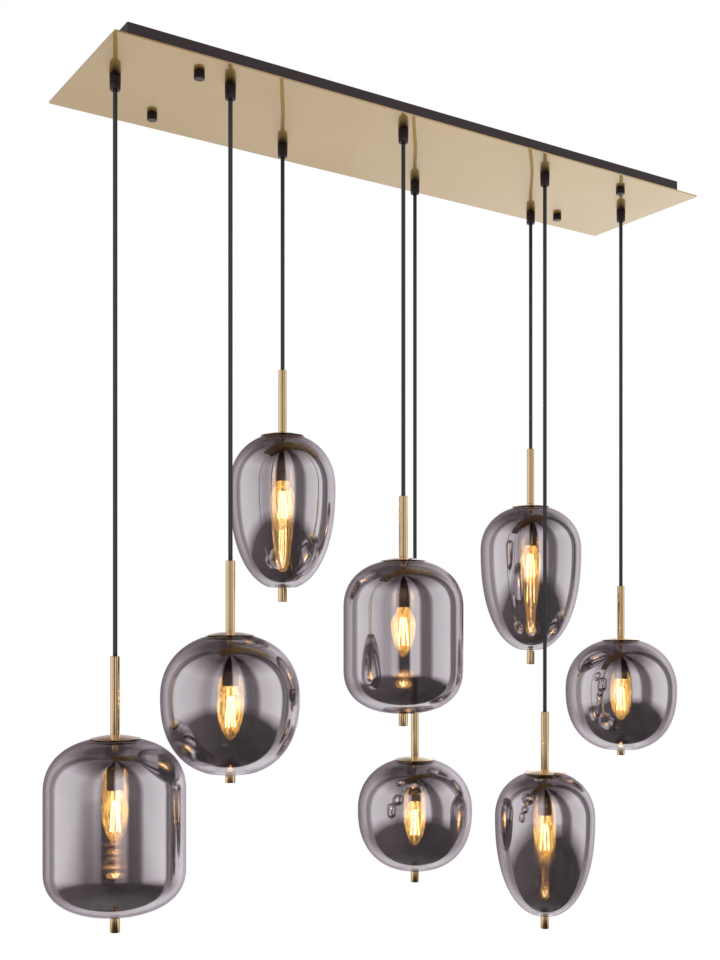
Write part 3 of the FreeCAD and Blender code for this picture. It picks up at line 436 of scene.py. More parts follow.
def black_paint():
    """Black powder paint with a fine orange peel."""
    finish = Finish("black_powder_paint", Specular_IOR_Level=0.25)
    peel = finish.noise(finish.coordinates(), 900.0, 2.0)
    finish.join(finish.ramp(peel, (0.3, (0.031, 0.020, 0.022)), (0.7, (0.041, 0.028, 0.030))), "Base Color")
    finish.join(finish.spread(peel, 0.38, 0.5), "Roughness")
    finish.bump(peel, 0.15, 0.0004)
    return finish.material


def black_turned_metal():
    """Turned metal, black plated, with faint rings and a soft sheen."""
    finish = Finish("black_turned_metal", Metallic=0.6)
    rings = finish.noise(finish.coordinates((30.0, 30.0, 3000.0)), 1.0, 3.0)
    finish.join(finish.ramp(rings, (0.3, (0.050, 0.035, 0.036)), (0.7, (0.085, 0.062, 0.062))), "Base Color")
    finish.join(finish.spread(rings, 0.22, 0.34), "Roughness")
    finish.bump(rings, 0.06, 0.0002)
    return finish.material


def zinc_steel():
    """Zinc plated steel: bluish grey with a slow mottle."""
    finish = Finish("zinc_steel", Metallic=1.0)
    mottle = finish.noise(finish.coordinates(), 120.0, 4.0, 0.6)
    finish.join(finish.ramp(mottle, (0.3, (0.48, 0.50, 0.53)), (0.7, (0.66, 0.67, 0.69))), "Base Color")
    finish.join(finish.spread(mottle, 0.28, 0.45), "Roughness")
    return finish.material


def textile_braid():
    """Black braided cover: two families of slanting threads cross, eight each way, with grey fibre ends. The
    weave is the product of the sines of turn plus rise and of turn minus rise."""
    finish = Finish("textile_braid", Specular_IOR_Level=0.12)
    uv = finish.node("ShaderNodeSeparateXYZ", Vector=finish.node("ShaderNodeTexCoord").outputs["UV"])
    turns = finish.math("MULTIPLY", uv.outputs["X"], 2 * math.pi * BRAID_THREADS)
    rise = finish.math("MULTIPLY", uv.outputs["Y"], 2 * math.pi / BRAID_PITCH)
    one_way = finish.math("SINE", finish.math("ADD", turns, rise))
    other_way = finish.math("SINE", finish.math("SUBTRACT", turns, rise))
    weave = finish.math("MULTIPLY", one_way, other_way)
    weave = finish.math("MULTIPLY_ADD", weave, 0.5, 0.5)
    fibre = finish.noise(finish.coordinates(), 1800.0, 2.0)
    tone = finish.math("MULTIPLY_ADD", fibre, 0.5, finish.math("MULTIPLY", weave, 0.5))
    finish.join(finish.ramp(tone, (0.15, grey(0.036)), (0.85, grey(0.052))), "Base Color")
    finish.join(finish.spread(tone, 0.7, 0.8), "Roughness")
    finish.bump(weave, 0.15, 0.0002)
    return finish.material


def holder_bakelite():
    """Black moulded lampholder with a soft gloss and a very fine grain."""
    finish = Finish("holder_black", Specular_IOR_Level=0.5)
    grain = finish.noise(finish.coordinates(), 1500.0, 2.0)
    finish.join(finish.ramp(grain, (0.3, grey(0.006)), (0.7, grey(0.012))), "Base Color")
    finish.join(finish.spread(grain, 0.09, 0.14), "Roughness")
    return finish.material


def terminal_plastic():
    """Cream moulded terminal block."""
    finish = Finish("terminal_plastic", Specular_IOR_Level=0.4)
    grain = finish.noise(finish.coordinates(), 400.0, 3.0)
    finish.join(finish.ramp(grain, (0.3, (0.72, 0.70, 0.62)), (0.7, (0.80, 0.78, 0.70))), "Base Color")
    finish.join(finish.spread(grain, 0.45, 0.6), "Roughness")
    return finish.material


def smoke_mirror(pendant):
    """Vacuum coated smoke: a purple-grey mirror that lets a little light through, with faint cloudy changes in
    its density, and a thinner coat right at the base hole."""
    finish = Finish(f"smoke_mirror_{pendant.number}", Metallic=1.0, Roughness=0.03,
                    Specular_Tint=(0.75, 0.70, 0.74, 1.0))
    cloud = finish.noise(finish.coordinates(), 9.0, 2.0)
    finish.join(finish.ramp(cloud, (0.3, (0.640, 0.598, 0.636)), (0.7, (0.705, 0.665, 0.698))), "Base Color")
    foot = finish.fade(finish.height(), pendant.foot + 0.002, pendant.foot + 0.016, 0.55, 1.0)
    finish.join(finish.math("MULTIPLY", foot, finish.spread(cloud, 0.84, 0.88)), "Alpha")
    return finish.material


def clear_glass():
    """The clear outer body of a shade: 0.03 + 0.9 f ** 5 of the light comes back, where f grows from 0 face on
    to 1 at a glancing angle, and the rest passes. Near its outline it takes the tint of the coating, which glass
    that bends light shows right up to its edge, and the very edge is painted as a thin dark line, a painted shade."""
    finish = Finish("clear_glass", Metallic=1.0, Roughness=0.01, Specular_Tint=(0.50, 0.45, 0.49, 1.0))
    facing = finish.facing()
    cloud = finish.noise(finish.coordinates(), 14.0, 2.0)
    tone = finish.math("MULTIPLY_ADD", cloud, 0.04, facing)
    # the last stop paints a thin dark line at the very edge of the outline, a painted shade
    finish.join(finish.ramp(tone, (0.68, (0.93, 0.93, 0.94)), (0.76, (0.72, 0.66, 0.71)),
                            (0.95, (0.66, 0.60, 0.65)), (1.0, (0.20, 0.18, 0.20))), "Base Color")
    fill = finish.fade(facing, 0.66, 0.80, 0.0, 0.55)
    mirror = finish.math("MULTIPLY_ADD", finish.math("POWER", facing, 5.0), 0.9, 0.03)
    finish.join(finish.math("ADD", mirror, fill, clamp=True), "Alpha")
    return finish.material


def bulb_glass(pendant):
    """Thin bulb glass with a painted glow: upright golden glints painted on it as reflections of the filaments,
    fading towards the tip, and a painted bright highlight ring at its neck."""
    finish = Finish(f"bulb_glass_{pendant.number}", Roughness=0.02, Specular_IOR_Level=0.8)
    cloud = finish.noise(finish.coordinates(), 60.0, 2.0)
    finish.join(finish.ramp(cloud, (0.3, (0.95, 0.62, 0.25)), (0.7, (1.0, 0.70, 0.32))), "Base Color")
    facing = finish.facing()
    painted_glint_noise = finish.noise(finish.coordinates((260.0, 260.0, 32.0)), 1.0, 2.0, 0.7)
    # painted reflection: golden glints of the filaments painted on the glass
    painted_filament_glints = finish.ramp(painted_glint_noise, (0.42, grey(0.12)), (0.60, grey(1.0)))
    share = finish.fade(finish.height(), pendant.bulb_low, pendant.bulb_low + BULB_GLASS_LENGTH, 0.0, 1.0)
    # painted highlight: a bright ring painted at the neck of the glass
    collar = finish.fade(share, 0.93, 0.96, 0.0, 0.5)
    body = finish.math("MULTIPLY_ADD", facing, 0.22, finish.spread(painted_filament_glints, 0.08, 0.24))
    finish.join(finish.math("ADD", body, collar), "Alpha")
    # painted glow: emission colour by height, dim at the tip and bright at the middle and the neck, though the glass
    # is no lamp
    glow = finish.ramp(share, (0.0, (0.34, 0.150, 0.020)), (0.22, (0.70, 0.38, 0.070)), (0.5, (1.0, 0.62, 0.16)),
                       (0.88, (0.80, 0.42, 0.08)), (0.96, (1.0, 0.62, 0.17)))
    finish.join(glow, "Emission Color")
    # the painted glow is strongest where the glass is seen face on
    inward = finish.math("POWER", finish.math("SUBTRACT", 1.0, facing), 1.5)
    finish.join(finish.math("MULTIPLY", painted_filament_glints, finish.spread(inward, 5.0, 22.0)), "Emission Strength")
    return finish.material


def hot_filament():
    """Glowing filament rod: yellow-white in the middle of its coating, deeper amber between the grains."""
    finish = Finish("hot_filament", Roughness=0.6)
    grain = finish.noise(finish.coordinates(), 700.0, 2.0)
    warm = finish.ramp(grain, (0.25, (1.0, 0.62, 0.22)), (0.75, (1.0, 0.80, 0.42)))
    finish.join(warm, "Base Color")
    finish.join(warm, "Emission Color")
    finish.shader.inputs["Emission Strength"].default_value = 26.0
    return finish.material


def mount_glass():
    """Clear glass post that carries the filaments."""
    finish = Finish("mount_glass", Roughness=0.05, Specular_IOR_Level=0.8)
    cloud = finish.noise(finish.coordinates(), 200.0, 2.0)
    finish.join(finish.ramp(cloud, (0.3, (0.9, 0.75, 0.5)), (0.7, (1.0, 0.85, 0.6))), "Base Color")
    finish.join(finish.spread(cloud, 0.35, 0.5), "Alpha")
    return finish.material


def nickelled_brass():
    """Nickelled screw shell and base of a bulb."""
    finish = Finish("nickelled_brass", Metallic=1.0)
    cloud = finish.noise(finish.coordinates(), 300.0, 3.0)
    finish.join(finish.ramp(cloud, (0.3, (0.70, 0.62, 0.48)), (0.7, (0.80, 0.72, 0.58))), "Base Color")
    finish.join(finish.spread(cloud, 0.18, 0.3), "Roughness")
    return finish.material


PLATE_BRASS = satin_brass_plate()
BRASS = polished_brass()
BLACK_PAINT = black_paint()
BLACK_METAL = black_turned_metal()
ZINC = zinc_steel()
BRAID = textile_braid()
HOLDER_BLACK = holder_bakelite()
TERMINAL = terminal_plastic()
CLEAR_GLASS = clear_glass()
FILAMENT = hot_filament()
MOUNT_GLASS = mount_glass()
NICKEL = nickelled_brass()


# ------------------------------------------------------------------------------------------------------
# Canopy
# ------------------------------------------------------------------------------------------------------

def finish_node(node, finish):
    """Give a carried-over node its material."""
    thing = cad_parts[node]
    thing.data.materials.clear()
    thing.data.materials.append(finish)


def group_centres(node, count_x, count_y):
    """Axes of nuts on a grid that fills their node's box, the box's ends being a nut's outer edges."""
    low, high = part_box(node)
    across = np.linspace(low.x + CAP_NUT_RADIUS, high.x - CAP_NUT_RADIUS, count_x)
    along = np.linspace(low.y + CAP_NUT_RADIUS, high.y - CAP_NUT_RADIUS, count_y)
    return [(x, y) for x in across for y in along]


def merge_pieces(name, pieces, body):
    """Several meshes joined into one piece."""
    with bpy.context.temp_override(active_object=pieces[0], selected_editable_objects=pieces):
        bpy.ops.object.join()
    pieces[0].name = name
    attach(pieces[0], body)
    return pieces[0]


def make_cap_nuts():
    """Four closed turned nuts with a rounded lower edge."""
    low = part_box("cap_nuts")[0].z
    outline = rounded([(0, 0), (CAP_NUT_RADIUS, 0), (CAP_NUT_RADIUS, CAP_NUT_LENGTH), (0, CAP_NUT_LENGTH)],
                      [0, 0.0013, 0.0003, 0], 6)[::-1]
    nuts = []
    for row, (x, y) in enumerate(group_centres("cap_nuts", 2, 2)):
        nuts.append(turned(f"cap_nut_{row}", at_height(outline, low), (x, y), [BLACK_METAL], None, 48))
    nuts = merge_pieces("cap_nuts_turned", nuts, "canopy")
    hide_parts("cap_nuts")


def make_grips(pendants):
    """Tapered cord grips with a lip at the plate, a shallow groove, and a rounded mouth round the cord."""
    hole = CORD_DIAMETER / 2 + CORD_CLEARANCE
    length = GRIP_LENGTH
    lip_low, groove_low, groove_high, lip_high = (length * share for share in GRIP_GROOVE)
    outline = rounded([
        (hole, 0.0006), (hole + GRIP_EDGE, 0), (GRIP_MOUTH_RADIUS, 0), (GRIP_MOUTH_RADIUS + 0.0004, lip_low),
        (GRIP_MOUTH_RADIUS + 0.0001, groove_low), (GRIP_MOUTH_RADIUS + 0.0001, groove_high),
        (GRIP_MOUTH_RADIUS + 0.0005, lip_high), (GRIP_TOP_RADIUS, length - GRIP_EDGE),
        (GRIP_TOP_RADIUS - GRIP_EDGE, length), (hole, length), (hole, 0.0006)],
        [0, 0.0003, 0.0016, 0.0003, 0.0002, 0.0002, 0.0003, 0.0003, 0.0003, 0, 0])[::-1]
    grips = []
    for pendant in pendants:
        grips.append(turned(f"grip_{pendant.number}", at_height(outline, pendant.mouth),
                            (pendant.x, pendant.y), [BLACK_METAL], None, 48))
    grips = merge_pieces("cord_grips_turned", grips, "canopy")
    make_shanks(pendants)
    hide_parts("cord_grips")


def make_shanks(pendants):
    """Threaded shanks of the grips above the plate: a sawtooth of (radius, height) turned round each axis."""
    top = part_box("cord_grips")[1].z
    start = pendants[0].mouth + GRIP_LENGTH
    hole = CORD_DIAMETER / 2 + CORD_CLEARANCE
    steps = np.arange(int((top - start) / SHANK_PITCH) * 2 + 1)
    heights = start + steps * SHANK_PITCH / 2
    radii = np.where(steps % 2 == 0, SHANK_ROOT, SHANK_CREST)
    outline = np.concatenate([[(hole, start)], np.stack([radii, heights], 1),
                              [(SHANK_ROOT, top), (hole, top), (hole, start)]])
    shanks = [turned(f"shank_{p.number}", outline[::-1], (p.x, p.y), [ZINC], None, 32, 20) for p in pendants]
    merge_pieces("grip_shanks_threaded", shanks, "canopy")


def nurbs_line(name, points):
    """The line of a NURBS curve of order 3 through its end points, as Blender divides it."""
    curve = bpy.data.curves.new(name, "CURVE")
    curve.dimensions = "3D"
    curve.resolution_u = 16
    spline = curve.splines.new("NURBS")
    spline.points.add(len(points) - 1)
    for point, place in zip(spline.points, points):
        point.co = (*place, 1.0)
    spline.order_u = 3
    spline.use_endpoint_u = True
    carrier = bpy.data.objects.new(name, curve)
    bpy.context.scene.collection.objects.link(carrier)
    line = bpy.data.meshes.new_from_object(carrier)
    path = np.array([vertex.co for vertex in line.vertices])
    bpy.data.objects.remove(carrier)
    bpy.data.meshes.remove(line)
    return path


def lead_route(pendant, end):
    """The cord's end inside the canopy: up through the grip from a little above its mouth, so that the swinging
    cord stays clear of it, over, and level to the terminal block."""
    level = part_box("inner_leads")[1].z - CORD_DIAMETER / 2
    corner = np.array([pendant.x, pendant.y, level])
    ahead = np.array([end[0] - pendant.x, end[1] - pendant.y, 0.0])
    ahead *= LEAD_BEND_REACH / np.linalg.norm(ahead)
    points = [(pendant.x, pendant.y, pendant.mouth + LEAD_START), corner - (0, 0, LEAD_BEND_REACH), corner,
              corner + ahead, (end[0], end[1], level)]
    return nurbs_line(f"lead_route_{pendant.number}", points)


def make_leads(pendants):
    """The cord ends inside the grips and the tray, up to the terminal block."""
    low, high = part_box("terminal_block")
    near, far = low.y, high.y
    inner, outer = TERMINAL_WAYS
    ends = {1: (low.x, 0.0), 2: (-outer, near), 3: (-outer, far), 4: (-inner, near),
            5: (inner, far), 6: (outer, far), 7: (outer, near), 8: (high.x, 0.0)}
    leads = []
    for pendant in pendants:
        route = lead_route(pendant, ends[pendant.number])
        leads.append(tube_along(f"lead_{pendant.number}", route, CORD_DIAMETER / 2, BRAID, None, 20))
    leads = merge_pieces("inner_leads_braided", leads, "canopy")
    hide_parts("inner_leads")


def make_canopy(pendants):
    """Everything that stays on the ceiling."""
    finish_node("canopy_tray", BLACK_PAINT)
    finish_node("brass_plate", PLATE_BRASS)
    for node in ("ceiling_bracket_left", "ceiling_bracket_right", "bracket_studs", "grip_locknuts",
                 "earth_terminal"):
        finish_node(node, ZINC)
    finish_node("grip_screws", BLACK_METAL)
    finish_node("terminal_block", TERMINAL)
    make_cap_nuts()
    make_grips(pendants)
    make_leads(pendants)


# ------------------------------------------------------------------------------------------------------
# Pendants
# ------------------------------------------------------------------------------------------------------

def hanging_route(pendant):
    """The straight cord's NURBS line, with one added point about six diameters from each end."""
    reach = 6 * CORD_DIAMETER
    levels = (pendant.mouth, pendant.mouth - reach, pendant.stem_top + reach, pendant.stem_top)
    return nurbs_line(f"cord_route_{pendant.number}", [(pendant.x, pendant.y, level) for level in levels])


def make_cord(pendant):
    """The hanging cord, a braided tube from the grip's mouth to the stem's top. On the lamp it is drawn out or in
    between the grip and the stem as the pendant's height changes; here it is drawn at the rest height.
    """
    path = hanging_route(pendant)
    cord = tube_along(f"cord_{pendant.number}_braided", path, CORD_DIAMETER / 2, BRAID, None)
    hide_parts(f"cord_{pendant.number}")
    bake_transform(cord)


def make_stem(pendant):
    """Brass tube with a rounded top round the cord, a small collar, and the domed cap on the glass."""
    hole = CORD_DIAMETER / 2 + CORD_CLEARANCE
    centre = (pendant.x, pendant.y)
    top, foot = pendant.stem_top, pendant.stem_foot
    step = STEM_FOOT_STEP
    tube = rounded([(hole, top - STEM_ENTRY_DEPTH), (hole, top), (STEM_RADIUS, top), (STEM_RADIUS, foot + 2 * step),
                    (STEM_RADIUS - step, foot + step), (STEM_RADIUS - step, foot - 0.0002)],
                   [0, 0.0004, 0.0010, 0.0004, 0.0003, 0])
    curve = (DOME_RADIUS ** 2 + DOME_HEIGHT ** 2) / (2 * DOME_HEIGHT)
    radius = np.linspace(0.0052, DOME_RADIUS - 0.0004, 14)
    rise = np.sqrt(curve ** 2 - radius ** 2) - (curve - DOME_HEIGHT)
    crown = np.stack([radius, pendant.dome_rim + rise], 1)
    lip = [(DOME_RADIUS, pendant.dome_rim + 0.0006), (DOME_RADIUS - 0.0001, pendant.dome_rim + 0.0001),
           (DOME_RADIUS - 0.0007, pendant.dome_rim), (DOME_RADIUS - 0.0035, pendant.dome_rim)]
    inner = np.sqrt((curve - DOME_SHEET) ** 2 - radius[:-4] ** 2) - (curve - DOME_HEIGHT)
    under = np.stack([radius[:-4], pendant.dome_rim + np.maximum(inner, 0.0)], 1)[::-1]
    dome = np.concatenate([crown, lip, under, crown[:1]])
    pieces = [turned(f"tube_{pendant.number}", tube, centre, [BRASS], None, 64),
              turned(f"dome_{pendant.number}", dome, centre, [BRASS], None, 96)]
    stem = merge_pieces(f"stem_{pendant.number}_turned", pieces, pendant.body)
    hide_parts(f"stem_{pendant.number}")


def make_lampholder(pendant):
    """Nipple, clamp bar, black holder cap, shade ring and skirt."""
    centre = (pendant.x, pendant.y)
    skirt_low = pendant.holder_low
    ring_low = skirt_low + HOLDER_SKIRT_LENGTH
    ring_top = ring_low + HOLDER_RING_HEIGHT
    cap_top = ring_top + HOLDER_CAP_HEIGHT
    cap = rounded([(0.0052, cap_top), (HOLDER_CAP_RADIUS - 0.0015, cap_top), (HOLDER_CAP_RADIUS, cap_top - 0.002),
                   (HOLDER_CAP_RADIUS, ring_top + 0.0005), (HOLDER_CAP_RADIUS - 0.001, ring_top)],
                  [0, 0.0012, 0.0012, 0.0004, 0])
    ring = rounded([(HOLDER_SKIRT_RADIUS, ring_top), (HOLDER_RING_RADIUS, ring_top), (HOLDER_RING_RADIUS, ring_low),
                    (HOLDER_SKIRT_RADIUS, ring_low)], [0, 0.0015, 0.0015, 0])
    inner = HOLDER_SKIRT_RADIUS - HOLDER_SKIRT_WALL
    skirt = rounded([(HOLDER_SKIRT_RADIUS, ring_low), (HOLDER_SKIRT_RADIUS, skirt_low), (inner, skirt_low),
                     (inner, ring_low + 0.002), (0, ring_low + 0.002)], [0, 0.0006, 0.0006, 0, 0])
    nipple = [(NIPPLE_RADIUS, pendant.stem_foot), (NIPPLE_RADIUS, cap_top - 0.002)]
    pieces = [turned(f"holder_cap_{pendant.number}", cap, centre, [HOLDER_BLACK], None, 48),
              turned(f"holder_ring_{pendant.number}", ring, centre, [HOLDER_BLACK], None, 64),
              turned(f"holder_skirt_{pendant.number}", skirt, centre, [HOLDER_BLACK], None, 48),
              turned(f"nipple_{pendant.number}", nipple, centre, [ZINC], None, 24),
              make_bar(pendant, cap_top)]
    holder = merge_pieces(f"lampholder_{pendant.number}_moulded", pieces, pendant.body)
    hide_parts(f"lampholder_{pendant.number}")


def make_bar(pendant, low):
    """Clamp bar under the glass: a strip with round ends, its outline x = a + b cos t, y = b sin t, two skins."""
    steps = 12
    count = 2 * steps
    quarter = math.pi / 2
    turn = np.concatenate([np.linspace(-quarter, quarter, steps), np.linspace(quarter, 3 * quarter, steps)])
    shift = np.where(np.arange(count) < steps, 0.5, -0.5) * (BAR_LENGTH - BAR_WIDTH)
    ring = np.stack([pendant.x + shift + BAR_WIDTH / 2 * np.cos(turn),
                     pendant.y + BAR_WIDTH / 2 * np.sin(turn)], 1)
    points = np.concatenate([np.column_stack([ring, np.full(count, level)]) for level in (low, low + BAR_SHEET)])
    index = np.arange(count)
    nxt = np.roll(index, -1)
    sides = np.stack([index, nxt, nxt + count, index + count], 1).tolist()
    return make_piece(f"bar_{pendant.number}", points, sides + [index[::-1].tolist(), (index + count).tolist()],
                      [ZINC], None, None, 30)


def bulb_profile(neck):
    """Candle bulb from its neck down: to the belly the radius swells as sin squared, and below it r = belly *
    cos(t) ** 1.25 while the height falls by sin(t)."""
    share = np.linspace(0, 1, 16)
    upper = np.stack([BULB_NECK_RADIUS + (BULB_RADIUS - BULB_NECK_RADIUS) * np.sin(share * math.pi / 2) ** 2,
                      neck - BULB_BELLY_DROP * share], 1)
    turn = np.linspace(0, math.pi / 2, 26)[1:]
    point = BULB_GLASS_LENGTH - BULB_BELLY_DROP
    lower = np.stack([BULB_RADIUS * np.maximum(np.cos(turn), 0) ** 1.25,
                      neck - BULB_BELLY_DROP - point * np.sin(turn)], 1)
    lower[-1, 0] = 0.0
    return np.concatenate([upper, lower])


def thin_rod(name, start, end, radius, finish, sides=10):
    """A straight round rod between two points."""
    return tube_along(name, np.linspace(start, end, 3), radius, finish, None, sides)


def make_bulb(pendant):
    """Filament candle bulb: glass, base with its thread, glass post, four filaments and their wires."""
    neck = pendant.bulb_low + BULB_GLASS_LENGTH
    centre = np.array([pendant.x, pendant.y, 0.0])
    axis = centre[:2]
    thread = np.arange(25)
    base = np.stack([np.where(thread % 2 == 0, BULB_THREAD_CREST, BULB_THREAD_ROOT),
                     neck + 0.0015 + thread * BULB_THREAD_STEP], 1)
    base = np.concatenate([[(0.0, pendant.bulb_high), (0.003, pendant.bulb_high)], base[::-1],
                           [(BULB_NECK_RADIUS - 0.0002, neck + 0.001), (BULB_NECK_RADIUS - 0.0002, neck - 0.0005)]])
    post = rounded([(0.0, neck - BULB_POST_LENGTH), (0.0025, neck - BULB_POST_LENGTH + 0.001),
                    (0.0014, neck - BULB_POST_LENGTH + 0.007), (0.0040, neck)], 0.002)[::-1]
    pieces = [turned(f"bulb_envelope_{pendant.number}", bulb_profile(neck), axis, [bulb_glass(pendant)], None, 64, 0),
              turned(f"bulb_base_{pendant.number}", base, axis, [NICKEL], None, 48, 20),
              turned(f"bulb_post_{pendant.number}", post, axis, [MOUNT_GLASS], None, 24, 0)]
    hub_high = centre + np.array([0, 0, neck - BULB_POST_LENGTH + 0.002])
    hub_low = centre + np.array([0, 0, neck - FILAMENT_LOW[1] - 0.003])
    for quarter in range(4):
        turn = math.radians(45 + 90 * quarter)
        out = np.array([math.cos(turn), math.sin(turn), 0.0])
        start, end = (centre + out * reach + np.array([0, 0, neck - drop]) for reach, drop in
                      (FILAMENT_HIGH, FILAMENT_LOW))
        tag = f"{pendant.number}_{quarter}"
        pieces.append(thin_rod(f"filament_{tag}", start, end, FILAMENT_RADIUS, FILAMENT))
        pieces.append(thin_rod(f"wire_up_{tag}", hub_high, start, WIRE_RADIUS, NICKEL, 6))
        pieces.append(thin_rod(f"wire_low_{tag}", end, hub_low, WIRE_RADIUS, NICKEL, 6))
    bulb = merge_pieces(f"bulb_{pendant.number}_filament", pieces, pendant.body)
    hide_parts(f"bulb_{pendant.number}")


def shade_skin(pendant, inset):
    """One skin of a blown shade from its neck hole to its base hole: superellipse halves
    (r / R) ** n + (h / H) ** n = 1 above and below a straight side, with the kick (1 - (r / k) ** 2) ** 2."""
    widest = pendant.widest - inset
    full = pendant.form["crown"]
    start = math.asin((SHADE_TOP_HOLE_RADIUS / widest) ** (full / 2))
    turn = np.linspace(start, math.pi / 2, 40)
    upper = np.stack([widest * np.sin(turn) ** (2 / full),
                      pendant.waist + (pendant.crown - inset) * np.maximum(np.cos(turn), 0) ** (2 / full)], 1)
    full = pendant.form["base"]
    start = math.asin((SHADE_BASE_HOLE_RADIUS / widest) ** (full / 2))
    turn = np.linspace(math.pi / 2, start, 64)
    radius = widest * np.sin(turn) ** (2 / full)
    fall = (pendant.base - inset) * np.maximum(np.cos(turn), 0) ** (2 / full)
    lift = pendant.kick * (1 - np.minimum(radius / pendant.form["kick"], 1) ** 2) ** 2
    lower = np.stack([radius, pendant.hip - fall + lift], 1)
    if pendant.side == 0:
        return np.concatenate([upper, lower[1:]])
    side = np.linspace(1, 0, 12)[1:-1, None] * (upper[-1] - lower[0]) + lower[0]
    return np.concatenate([upper, side, lower])


def make_shade(pendant):
    """A blown shade: the clear outer skin, the rims of both holes, and the smoke coating inside."""
    outer = shade_skin(pendant, 0.0)
    inner = shade_skin(pendant, SMOKE_INSET)[::-1]
    profile = np.concatenate([outer, inner, outer[:1]])
    rows = np.full(len(profile) - 1, 1)
    rows[:len(outer)] = 0
    rows[-1] = 0
    shade = turned(f"shade_{pendant.number}_blown", profile, (pendant.x, pendant.y),
                   [CLEAR_GLASS, smoke_mirror(pendant)], pendant.body, 128, 0, rows)
    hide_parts(f"shade_{pendant.number}")


def make_finial(pendant):
    """Turned finial with a small chamfer, a thin neck ring at the glass, and its screw head inside."""
    centre = (pendant.x, pendant.y)
    low = pendant.finial_low
    top = low + FINIAL_LENGTH
    knob = rounded([(0, low), (FINIAL_RADIUS, low), (FINIAL_RADIUS, top), (WASHER_RADIUS, top),
                    (WASHER_RADIUS, top + WASHER_THICKNESS), (SCREW_RADIUS, top + WASHER_THICKNESS),
                    (SCREW_RADIUS, pendant.finial_high - SCREW_END_DROP)],
                   [0, 0.0008, 0.0005, 0.0003, 0.0003, 0, 0])[::-1]
    high = pendant.finial_high
    under = high - SCREW_HEAD_HEIGHT
    head = rounded([(0, high), (SCREW_HEAD_RADIUS, high), (SCREW_HEAD_RADIUS, under), (WASHER_RADIUS, under),
                    (WASHER_RADIUS, under - WASHER_THICKNESS), (SCREW_RADIUS, under - WASHER_THICKNESS)],
                   [0, 0.0006, 0, 0.0003, 0.0003, 0])
    pieces = [turned(f"knob_{pendant.number}", knob, centre, [BRASS], None, 48),
              turned(f"screw_head_{pendant.number}", head, centre, [BRASS], None, 32)]
    finial = merge_pieces(f"finial_{pendant.number}_turned", pieces, pendant.body)
    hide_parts(f"finial_{pendant.number}")


# ------------------------------------------------------------------------------------------------------
# Studio
# ------------------------------------------------------------------------------------------------------

FLOOR_LEVEL = -3.0
FLOOR_REACH = 60.0
FLOOR_GLOW = 0.35


def make_floor():
    """Wide pale floor three metres under the ceiling."""
    points = np.array([(across * FLOOR_REACH, along * FLOOR_REACH, FLOOR_LEVEL)
                       for across, along in ((-1, -1), (1, -1), (1, 1), (-1, 1))])
    finish = Finish("studio_floor", Roughness=0.9, Specular_IOR_Level=0.0)
    cloud = finish.noise(finish.coordinates(), 0.8, 2.0)
    finish.join(finish.ramp(cloud, (0.3, grey(0.88)), (0.7, grey(0.90))), "Base Color")
    seen = finish.node("ShaderNodeLightPath").outputs["Is Camera Ray"]
    finish.shader.inputs["Emission Color"].default_value = (1.0, 1.0, 1.0, 1.0)
    finish.join(finish.math("MULTIPLY", seen, FLOOR_GLOW), "Emission Strength")
    floor = make_piece("studio_floor", points, [[0, 1, 2, 3]], [finish.material], None)
    floor.visible_glossy = False


# Brightness of the studio that reflections show, by bearing in degrees from the side that the camera stands
# on (positive to the right of the picture, 180 behind the object).
STUDIO_WALLS = [
    (-180, 0.6), (-160, 0.40), (-140, 0.55), (-126, 0.75), (-118, 0.35), (-108, 0.40), (-100, 0.95),
    (-56, 0.75), (-46, 0.62), (-38, 0.50), (-28, 0.50), (-20, 0.72), (-13, 0.55), (-9, 0.04), (9, 0.04),
    (13, 0.85), (28, 0.85), (33, 0.25), (37, 0.17), (50, 0.17), (54, 0.30), (60, 0.75), (100, 1.0),
    (106, 0.12), (112, 0.30), (119, 0.08), (126, 0.8), (150, 1.2), (165, 1.3), (180, 0.8),
]
# Each fade is (from, to, value at from, value at to). Directions are unit vectors, so heights run from -1 to 1.
CEILING_DIMS = (0.55, 0.92, 1.0, 0.18)
CEILING_LEAN = 0.3
FLOOR_EDGE_BY_TURN = (0.10, 0.26, -0.17, -0.33)
EDGE_SHARPNESS_BY_TURN = (0.10, 0.26, 7.0, 4.0)
DARK_FLOOR = (-0.9, 0.2, 0.09, 0.03)
WHITE_FLOOR = (-0.25, 0.25, 0.93, 1.06)
WHITE_FLOOR_SIDES = (0.35, 0.75, 1.0, 0.32)
WHITE_FLOOR_START = 0.53
WHITE_FLOOR_SHARPNESS = 14.0
WARM_GREEN = 1.10
WARM_BLUE = 1.08
LIGHT_LEVEL = 0.75
CAMERA_YAW = math.radians(-33.16)
STUDIO_TURN = 0.75 - math.degrees(CAMERA_YAW) / 360


